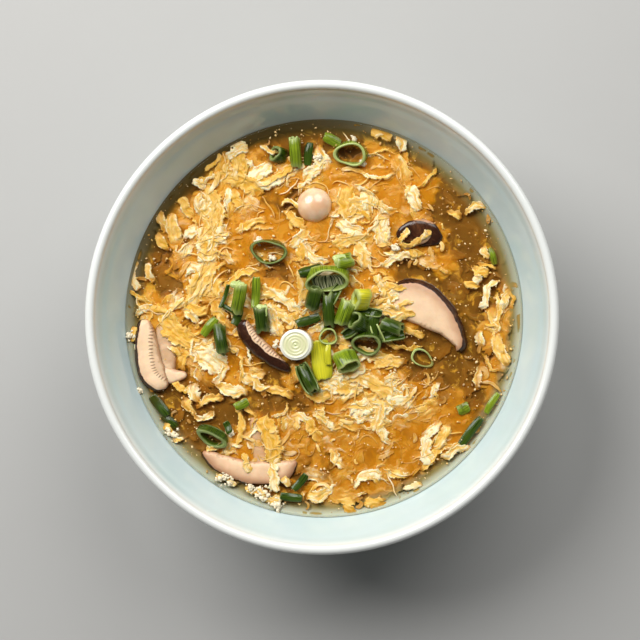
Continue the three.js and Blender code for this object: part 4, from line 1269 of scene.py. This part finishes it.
class SOUP_OT_broth(bpy.types.Operator):
    """Pours the broth: a murky body and the clear surface over it"""

    bl_idname = "soup.broth"
    bl_label = "Broth"

    def execute(self, context):
        broth, egg = context.scene.soup_broth, context.scene.soup_egg
        self.body(broth, egg)
        self.surface()
        return {"FINISHED"}

    def body(self, broth, egg):
        """The murk: clouds of fine egg that come up close to the surface in the drifts."""
        look = broth_material(broth, egg)
        for name, side_x, side_y in QUARTERS:
            piece(self.quarter(name, side_x, side_y, broth.cells), name, look, "broth", "soup")

    def quarter(self, name, side_x, side_y, cells):
        """A quarter of the body with the relief of the egg in it."""
        mesh = self.quarter_box(name, side_x, side_y, cells)
        across, along, low = places(mesh).T
        x = across * np.sqrt(1 - along**2 / 2) * BODY_RADIUS
        y = along * np.sqrt(1 - across**2 / 2) * BODY_RADIUS
        ground, reach = relief(x, y, all_strands()), np.hypot(x, y)
        shore = ease(reach, SOUP_RADIUS - 3, SOUP_RADIUS - 0.3)
        height = ground["height"] + shore * (SHORE_HEIGHT - ground["height"])
        bottom = low < -0.5
        narrow = np.where(bottom, SKIRT_SHARE, 1.0)
        move_to(mesh, x * narrow, y * narrow, SOUP_LEVEL + np.where(bottom, -SKIRT_DEPTH, height))
        crest = ground["crest"] * (1 - ease(reach, SOUP_RADIUS - 1, SOUP_RADIUS - 0.2))
        edge = ease(reach, SOUP_RADIUS - 9, BODY_RADIUS) * (1 - 0.9 * crest * ease(height, -0.9, -0.1))
        note(mesh, "tone", ground["tone"])
        note(mesh, "crest", crest)
        note(mesh, "grain", np.stack([ground["run"], ground["left"], ground["number"]], axis=1))
        note(mesh, "edge", edge)
        shaded = SHADED_SIDE[1] * y + SHADED_SIDE[0] * x
        note(mesh, "shade", ease(shaded, SHADE_START, SHADE_END))
        inward, up = WALL_NORMAL
        note(mesh, "wall", np.stack([-inward * x / 73, -inward * y / 73, up + 0 * x], axis=1))
        return mesh

    def quarter_box(self, name, side_x, side_y, cells):
        """A square of so many cells a side, closed by a skirt and a bottom."""
        bm = bmesh.new()
        middle = Matrix.Translation((side_x / 2, side_y / 2, 0))
        bmesh.ops.create_grid(bm, x_segments=cells, y_segments=cells, size=0.5, matrix=middle)
        rim = [edge for edge in bm.edges if edge.is_boundary]
        for edge in rim:
            edge.smooth = False
        skirt = bmesh.ops.extrude_edge_only(bm, edges=rim)["geom"]
        for vert in (item for item in skirt if isinstance(item, bmesh.types.BMVert)):
            vert.co.z = -1
        hem = [item for item in skirt if isinstance(item, bmesh.types.BMEdge)]
        bmesh.ops.contextual_create(bm, geom=hem)
        bmesh.ops.recalc_face_normals(bm, faces=bm.faces)
        return as_mesh(bm, name)

    def surface(self):
        """The top of the broth, which climbs a little at the wall."""
        top = [(radius, SOUP_LEVEL) for radius in np.linspace(0, SOUP_RADIUS - 1.5, 20)]
        climb = [(SOUP_RADIUS - 0.6, SOUP_LEVEL + 0.12), (SOUP_RADIUS + 0.35, SOUP_LEVEL + 0.45)]
        bottom = [(SOUP_RADIUS - 5.5, SOUP_LEVEL - 6.5), (0, SOUP_LEVEL - 6.5)]
        bm = turned([*top, *climb, *bottom], SURFACE_SIDES)
        bmesh.ops.scale(bm, vec=(MM, MM, MM), verts=bm.verts)
        piece(as_mesh(bm, "broth_surface"), "broth_surface", surface_material(), "broth", "soup")


# ------------------------------------------------------------------ egg


def strand_paths(strands, rows, waver, seed):
    """The bent line of each strand, as x, y and heading at so many steps along it."""
    offset = own_noise(np.arange(len(strands)))[:, None]
    stations = np.linspace(0, 1, rows + 1)[None]
    x, y, length, lie, bend = (column[:, None] for column in strands.T[:5])
    sway = smooth_noise(stations * length / 4 + offset, offset + 0 * stations, seed)
    heading = np.radians(lie + bend * (stations - 0.5)) + waver * sway
    path_x = np.cumsum(np.cos(heading), axis=1) * length / rows
    path_y = np.cumsum(np.sin(heading), axis=1) * length / rows
    middle = [rows // 2]
    return path_x + (x - path_x[:, middle]), path_y + (y - path_y[:, middle]), heading


def laid(name, strands, seed, rows, columns, waver, torn, pleat):
    """Strips of egg laid along their strands, with torn edges, and pleats that run along them."""
    mesh = as_mesh(row_of(grid(rows, columns), len(strands)), name)
    which, local = row_places(mesh)
    along, across = local[:, 0] + 0.5, local[:, 1]
    offset, station = own_noise(which), np.round(along * rows).astype(int)
    length, width, lift = strands[which][:, [2, 5, 6]].T
    run, end = along * length, np.abs(2 * along - 1)
    edge = 1 + torn * smooth_noise(run / 1.7 + offset, 9.1 * np.sign(across) + offset, seed + 1)
    side = 0.5 * width * across * (1 - end**3) ** 0.6 * edge
    paths = strand_paths(strands, rows, waver, seed)
    path_x, path_y, heading = (line[which, station] for line in paths)
    x, y = path_x - side * np.sin(heading), path_y + side * np.cos(heading)
    ridges = smooth_noise(side / 1.1 + offset, run / 6 + offset, seed + 2)
    swell = smooth_noise(side / 4 + offset, run / 4 + 3.7 * offset, seed + 3)
    ground = relief(x, y, all_strands())["height"]
    rise = np.maximum(lift - 0.3 * end**3, ground + 0.05) + pleat * (ridges + swell)
    pull = np.minimum(1, (SOUP_RADIUS - SPECK_MARGIN) / np.maximum(np.hypot(x, y), 1))
    move_to(mesh, x * pull, y * pull, SOUP_LEVEL + rise)
    thin = 0.5 + 0.8 * smooth_noise(offset * 3.3, run / 5, seed + 4)
    note(mesh, "thin", np.clip(thin, 0, 1))
    note(mesh, "grain", np.stack([run, side, offset], axis=1))
    return mesh


class SOUP_OT_egg(bpy.types.Operator):
    """Lays the loose egg: ribbons, flakes, threads and crumbs, and the foam beside them"""

    bl_idname = "soup.egg"
    bl_label = "Egg"

    def execute(self, context):
        egg = context.scene.soup_egg
        look = egg_material(egg)
        rng = np.random.default_rng(LOOSE_SEED)
        ribbons = scattered(rng, egg.ribbons, **RIBBONS)
        flakes = adrift(rng, egg.flakes, **FLAKES)
        threads = scattered(rng, egg.threads, **THREADS)
        meshes = [
            laid(
                "egg_strands", np.concatenate([ribbons, flakes]),
                seed=20, rows=14, columns=5, waver=0.5, torn=0.45, pleat=0.18,
            ),
            laid("egg_threads", threads, seed=30, rows=12, columns=2, waver=0.8, torn=0.2, pleat=0.06),
        ]
        for mesh in meshes:
            thicken(piece(mesh, mesh.name, look, "egg", "egg_ribbons"), STRIP_THICKNESS)
        self.crumbs(egg, look)
        self.foam(egg)
        return {"FINISHED"}

    def crumbs(self, egg, look):
        """Specks of egg all over the broth, at its surface and just under it."""
        rng, count = np.random.default_rng(CRUMB_SEED), egg.crumbs
        mesh = as_mesh(row_of(ball(1), count), "egg_crumbs")
        which, local = row_places(mesh)
        distance, around = spread_round(rng, count)
        radius = (SOUP_RADIUS - SPECK_MARGIN) * distance
        size = 0.3 + 0.7 * rng.uniform(0, 1, count) ** 3
        stretch, lie = rng.uniform(1, 1.7, count), rng.uniform(0, np.pi, count)[which]
        lift = rng.uniform(-0.8, 0.1, count)
        local = local * (1 + 0.3 * rng.uniform(-1, 1, len(local)))[:, None] * size[which][:, None]
        long = local[:, 0] * stretch[which]
        x = long * np.cos(lie) - local[:, 1] * np.sin(lie) + (radius * np.cos(around))[which]
        y = long * np.sin(lie) + local[:, 1] * np.cos(lie) + (radius * np.sin(around))[which]
        move_to(mesh, x, y, local[:, 2] + lift[which] + SOUP_LEVEL)
        note(mesh, "thin", np.zeros(len(local)))
        note(mesh, "grain", local)
        piece(mesh, "egg_crumbs", look, "egg", "egg_ribbons")

    def foam(self, egg):
        """Crumbly lumps of foam beside the wall and the scallion, smaller towards a cluster's rim."""
        rng = np.random.default_rng(FOAM_SEED)
        rows = [(x, y, spread, lift) for x, y, spread, many, lift in FOAM for _ in range(many)]
        middle_x, middle_y, spread, lift = np.array(rows).T
        count = len(rows)
        mesh = as_mesh(row_of(ball(2), count), "foam_clusters")
        which, local = row_places(mesh)
        away, around = spread * rng.uniform(0, 1, count) ** 0.7, rng.uniform(0, 2 * np.pi, count)
        x, y = middle_x + away * np.cos(around), middle_y + away * np.sin(around)
        size = rng.uniform(0.6, 2.3, count) * (1.1 - 0.6 * away / spread)
        lift = lift + 0.3 * (1 - away / spread) * rng.uniform(0, 1, count)
        rough = smooth_noise(4 * local[:, 0] + 5.3 * which, 4 * local[:, 1] + 3 * local[:, 2], 62)
        place = local * (size[which] * (1 + 0.85 * rough))[:, None]
        height = 0.45 * place[:, 2] + lift[which] + SOUP_LEVEL
        move_to(mesh, place[:, 0] + x[which], place[:, 1] + y[which], height)
        piece(mesh, "foam_clusters", foam_material(egg), "egg", "egg_ribbons")


# ------------------------------------------------------------------ mushrooms


def band_mesh(name, stations, entry, thickness, top):
    """A flat band with rounded edges along the stations, whose skin side slopes down."""
    line = curve_points(stations, max(1, SLICE_ROWS // (len(stations) - 1)))
    rows = len(line) - 1
    mesh = as_mesh(grid(rows, SLICE_AROUND), name)
    local = places(mesh)
    share, angle = local[:, 0] + 0.5, local[:, 1] * np.pi
    row = np.round(share * rows).astype(int)
    ahead = np.gradient(line[:, :2], axis=0)
    ahead /= np.linalg.norm(ahead, axis=1)[:, None]
    end = (1 - np.abs(2 * share - 1) ** 8) ** 0.5
    side, rise = (np.sign(wave) * np.abs(wave) ** 0.6 for wave in (np.cos(angle), np.sin(angle)))
    half = line[row, 2] * end
    inward = half * (1 - side * entry["side"])
    slope = 1.1 * ease(inward, entry["skin"] + 0.6, 0.0)
    x = line[row, 0] - ahead[row, 1] * half * side
    y = line[row, 1] + ahead[row, 0] * half * side
    z = top + thickness / 2 * (rise * end - 1) - slope * (rise > 0)
    x = swayed(x, x, y, (0.3, 3, 51))
    y = swayed(y, x, y, (0.3, 3, 52))
    move_to(mesh, x, y, swayed(z, x, y, (0.25, 5, 53), (0.1, 1.6, 54)))
    note(mesh, "inward", inward - entry["skin"])
    note(mesh, "gills", inward - entry["gills"])
    note(mesh, "beyond", inward - entry.get("beyond", entry["gills"]))
    note(mesh, "flush", np.full(len(share), entry.get("flush", FLUSH_AND_SHADE)))
    note(mesh, "along", share)
    note(mesh, "margin", half * (1 - np.abs(side)))
    note(mesh, "brim", half * (1 + side * entry["side"]) + 9 * (entry["side"] == 0))
    return mesh


def slice_mesh(entry):
    """A slice of cap, and its stem where the slice has one, as one closed mesh."""
    top = SOUP_LEVEL + entry["rise"]
    bm = bmesh.new()
    bm.from_mesh(band_mesh("cap", entry["cap"], entry, entry["thickness"], top))
    for part, gills, drop in (("under", -99, 1.1), ("stem", 99, 0.35 if entry["skin"] < 9 else -0.5)):
        if part in entry:
            plain = entry | dict(side=0, skin=-9, gills=gills)
            bm.from_mesh(band_mesh(part, entry[part], plain, entry["thickness"] - 1, top - drop))
    bmesh.ops.remove_doubles(bm, verts=bm.verts, dist=1e-3 * MM)
    bmesh.ops.recalc_face_normals(bm, faces=bm.faces)
    return as_mesh(bm, entry["name"] + "_cut")


class SOUP_OT_mushrooms(bpy.types.Operator):
    """Lays the shiitake slices and the button mushroom"""

    bl_idname = "soup.mushrooms"
    bl_label = "Mushrooms"

    def execute(self, context):
        colours = context.scene.soup_mushroom
        look = shiitake_material(colours)
        for entry in SLICES:
            piece(slice_mesh(entry), entry["name"] + "_cut", look, "shiitake", entry["name"])
        self.button(colours)
        return {"FINISHED"}

    def button(self, colours):
        bm = bmesh.new()
        bmesh.ops.create_uvsphere(bm, u_segments=64, v_segments=36, radius=1)
        mesh = as_mesh(bm, "button_cap")
        x, y, z = places(mesh).T
        radius = BUTTON["radius"] * (1 + 0.02 * smooth_noise(2 * x + 9, 2 * y + 4, 61))
        half = BUTTON["height"] / 2
        height = SOUP_LEVEL + BUTTON["rise"] - half + z * half
        move_to(mesh, BUTTON["at"][0] + x * radius, BUTTON["at"][1] + y * radius, height)
        piece(mesh, "button_cap", button_material(colours), "button_mushroom", BUTTON["name"])


# ------------------------------------------------------------------ scallion


def stood(points, at, lift, lean=0.0, turn=0.0):
    """Leans upright points over towards turn and sets them at their place."""
    way = Matrix.Rotation(math.radians(turn), 3, "Z")
    tilt = np.array(way @ Matrix.Rotation(math.radians(lean), 3, "Y") @ way.inverted())
    return points @ tilt.T + np.array([*at, SOUP_LEVEL + lift])


def tube_mesh(name, number, at, lift, radius, length, wall=1.0, lean=0, turn=0, squash=1, spin=0):
    """A cut length of hollow leaf, a little crumpled, with soft cut edges."""
    inner, half, round_off = radius - wall, length / 2, min(0.25, wall / 3)
    section = [
        (inner, -half + round_off), (inner + round_off, -half), (radius - round_off, -half),
        (radius, -half + round_off), (radius, 0), (radius, half - round_off), (radius - round_off, half),
        (inner + round_off, half), (inner, half - round_off), (inner, 0), (inner, -half + round_off),
    ]
    mesh = as_mesh(turned(section, TUBE_SIDES), name)
    x, y, z = places(mesh).T
    reach, around = np.hypot(x, y), np.arctan2(y, x)
    depth = np.clip((radius - reach) / wall, 0, 1)
    note(mesh, "grain", np.stack([np.cos(around) * radius / 3, np.sin(around) * radius / 3, z], axis=1))
    note(mesh, "within", ease(depth, 0.45, 0.8))
    note(mesh, "layer", reach)
    note(mesh, "edge", ease(np.abs(z), half - 2 * round_off, half - 0.3 * round_off))
    crumple = 1 + 0.09 * np.sin(2 * around + number) + 0.07 * np.sin(3 * around + 2 * number + z / 2)
    x, y = x * crumple, y * crumple * squash
    spun = math.radians(spin)
    x, y = x * math.cos(spun) - y * math.sin(spun), x * math.sin(spun) + y * math.cos(spun)
    uneven = z * (1 + 0.10 * np.sin(around * 2 + 1.7 * number) + 0.05 * np.sin(around * 5 + number))
    placed = stood(np.stack([x, y, uneven], axis=1), at, lift, lean, turn)
    move_to(mesh, *placed.T)
    return mesh


def round_mesh(name, at, lift, radius, length, lean=0, turn=0, squash=1):
    """A solid round of stem whose rings stand a little proud of each other."""
    half = length / 2
    face = [
        (reach, half + 0.09 * math.cos(reach * 5) - 0.25 * ease(reach, radius - 0.8, radius))
        for reach in np.linspace(0, radius - 0.15, 34)
    ]
    section = [(0, -half), (radius - 0.3, -half), (radius, -half + 0.3), (radius, half - 0.5), *face[::-1]]
    mesh = as_mesh(turned(section, ROUND_SIDES), name)
    x, y, z = places(mesh).T
    note(mesh, "ring", np.hypot(x, y) / radius)
    placed = stood(np.stack([x, y * squash, z], axis=1), at, lift, lean, turn)
    move_to(mesh, *placed.T)
    return mesh


def leaf_mesh(
    name, number, at, lift, length, width, turn=0, arch=0.8, thickness=1.0, roll=60, veins=1.0
):
    """A strip of opened leaf with torn ends. It is rolled about its length by so many degrees,
    edges down, or edges up where roll is less than 0."""
    mesh = as_mesh(grid(LEAF_ROWS, LEAF_COLUMNS), name)
    along, across, _ = places(mesh).T
    ragged = 0.06 * smooth_noise(4 * across + 7 * number, 0 * across, 71)
    taper = 1 - 0.3 * np.abs(2 * along) ** 4
    half = math.radians(roll) / 2
    angle = half * across * (1 + 0.15 * np.sin(4 * along + number))
    radius = 0.5 * width / abs(math.sin(min(abs(half), math.pi / 2)))
    x = length * (along + ragged * np.abs(2 * along))
    y = radius * np.sin(np.abs(half) * across) * taper + 0.35 * np.sin(3 * along + number)
    z = math.copysign(radius, half) * (np.cos(angle) - math.cos(half)) - 0.5 * thickness
    z = z + 0.3 * np.sin(5 * along + number) + 0.3 + 0.2 * arch
    note(mesh, "grain", np.stack([across * width / 5 * veins, 0 * along, x], axis=1))
    note(mesh, "within", np.full(len(along), float(roll < 0)))
    note(mesh, "edge", np.maximum(ease(np.abs(along), 0.47, 0.5), ease(np.abs(across), 0.9, 1)) * 0.7)
    spun = np.stack([x, y, z], axis=1) @ np.array(Matrix.Rotation(math.radians(turn), 3, "Z")).T
    move_to(mesh, *stood(spun, at, lift).T)
    return mesh


class SOUP_OT_scallion(bpy.types.Operator):
    """Scatters the chopped scallion"""

    bl_idname = "soup.scallion"
    bl_label = "Scallion"

    def execute(self, context):
        colours = context.scene.soup_scallion
        within = tuple(0.5 * (a + b) for a, b in zip(colours.bright, colours.cut))
        dim = tuple(0.5 * (a + b) for a, b in zip(colours.dark, colours.bright))
        looks = {
            "dark": scallion_material("dark scallion", colours, colours.dark, dim, 1.0, 0.38),
            "green": scallion_material("green scallion", colours, colours.bright, within),
            "pale": scallion_material("pale scallion", colours, colours.pale, colours.pale, 0.3),
            "white": round_material(colours),
            "striped": scallion_material("striped scallion", colours, colours.dark, colours.white, 1.7),
            # The pale tops are partly their paler cut ends and partly a painted highlight.
            "pale_and_highlight": scallion_material("faded scallion", colours, colours.pale_and_highlight, colours.cut, 0.3),
        }
        for number, (name, entry) in enumerate(SCALLIONS.items()):
            self.lay("chopped_" + name, number, looks, entry, "scallion_" + name)
        for number, (name, (owner, entry)) in enumerate(FOLDS.items()):
            self.lay("chopped_" + name, number, looks, entry, "scallion_" + owner)
        for number, (name, entry) in enumerate(SUNK.items()):
            self.lay("sunk_" + name, number, looks, entry, "soup")
        return {"FINISHED"}

    def lay(self, name, number, looks, entry, node):
        """Makes one piece from its row and lays it in the soup."""
        kind, look, at, lift, sizes = entry
        if kind == "round":
            mesh = round_mesh(name, at, lift, **sizes)
        else:
            shape = tube_mesh if kind == "tube" else leaf_mesh
            mesh = shape(name, number, at, lift, **sizes)
        made = piece(mesh, name, looks[look], "scallion_" + SLOTS.get(look, look), node)
        if kind == "leaf":
            thicken(made, LEAF_THICKNESS * sizes.get("thickness", 1.0))


# ------------------------------------------------------------------ stage


class SOUP_OT_stage(bpy.types.Operator):
    """Lays the floor and sets the lights and the camera"""

    bl_idname = "soup.stage"
    bl_label = "Stage"

    def execute(self, context):
        stage = context.scene.soup_stage
        self.floor(stage)
        self.lights(context.scene, stage)
        self.camera(context.scene, stage)
        context.scene.view_settings.view_transform = "Standard"
        return {"FINISHED"}

    def floor(self, stage):
        bm = bmesh.new()
        bmesh.ops.create_grid(bm, x_segments=4, y_segments=4, size=FLOOR_REACH)
        mesh = as_mesh(bm, "floor")
        made = bpy.data.objects.new("floor", mesh)
        bpy.context.scene.collection.objects.link(made)
        mesh.materials.append(floor_material(stage))

    def lights(self, scene, stage):
        """Two far windows and the light of the room."""
        for name, (at, share) in WINDOWS.items():
            light = bpy.data.lights.new(name, "AREA")
            light.shape, light.size, light.color = "DISK", WINDOW_WIDTH, WINDOW_TINT
            light.energy = share * stage.key
            made = bpy.data.objects.new(name, light)
            made.location = at
            made.rotation_euler = (LAMPS_AIM - Vector(at)).to_track_quat("-Z", "Y").to_euler()
            scene.collection.objects.link(made)
        world = bpy.data.worlds.new("room")
        world.use_nodes = True
        background = world.node_tree.nodes["Background"]
        background.inputs["Color"].default_value = ROOM_TINT
        background.inputs["Strength"].default_value = stage.world
        scene.world = world

    def camera(self, scene, stage):
        """The camera looks down on the soup, tipped a little to the right and towards the eater."""
        target = Vector((*CAMERA_AIM, BOWL_TOP.z)) * MM
        tip_right, tip_near = (math.sin(math.radians(tip)) for tip in (CAMERA_RIGHT, CAMERA_NEAR))
        back = Vector((tip_right, -tip_near, 1)).normalized()
        right = Vector((0, 1, 0)).cross(back).normalized()
        up = back.cross(right)
        lens = bpy.data.cameras.new("camera")
        lens.lens, lens.sensor_width = stage.lens, SENSOR
        made = bpy.data.objects.new("camera", lens)
        rotation = Matrix((right, up, back)).transposed().to_4x4()
        made.matrix_world = Matrix.Translation(target + CAMERA_DISTANCE * back) @ rotation
        scene.collection.objects.link(made)
        scene.camera = made


# ------------------------------------------------------------------ add-on

OPERATORS = [SOUP_OT_bowl, SOUP_OT_broth, SOUP_OT_egg, SOUP_OT_mushrooms, SOUP_OT_scallion, SOUP_OT_stage]
SETTINGS = {
    "soup_bowl": BowlSettings,
    "soup_broth": BrothSettings,
    "soup_egg": EggSettings,
    "soup_mushroom": MushroomSettings,
    "soup_scallion": ScallionSettings,
    "soup_stage": StageSettings,
}


class SOUP_PT_panel(bpy.types.Panel):
    """Lists the pieces of the soup and their settings"""

    bl_label = "Egg drop soup"
    bl_idname = "SOUP_PT_panel"
    bl_space_type = "VIEW_3D"
    bl_region_type = "UI"
    bl_category = "Soup"

    def draw(self, context):
        for operator, setting in zip(OPERATORS, SETTINGS):
            box = self.layout.box()
            box.operator(operator.bl_idname)
            group = getattr(context.scene, setting)
            for name in group.bl_rna.properties.keys():
                if name not in {"rna_type", "name"}:
                    box.prop(group, name)


def register():
    for cls in [*SETTINGS.values(), *OPERATORS, SOUP_PT_panel]:
        bpy.utils.register_class(cls)
    for name, cls in SETTINGS.items():
        setattr(bpy.types.Scene, name, PointerProperty(type=cls))


def unregister():
    for name in SETTINGS:
        delattr(bpy.types.Scene, name)
    for cls in reversed([*SETTINGS.values(), *OPERATORS, SOUP_PT_panel]):
        bpy.utils.unregister_class(cls)


def main():
    register()
    bpy.ops.soup.bowl()
    bpy.ops.soup.broth()
    bpy.ops.soup.egg()
    bpy.ops.soup.mushrooms()
    bpy.ops.soup.scallion()
    bpy.ops.soup.stage()


if __name__ == "__main__":
    main()
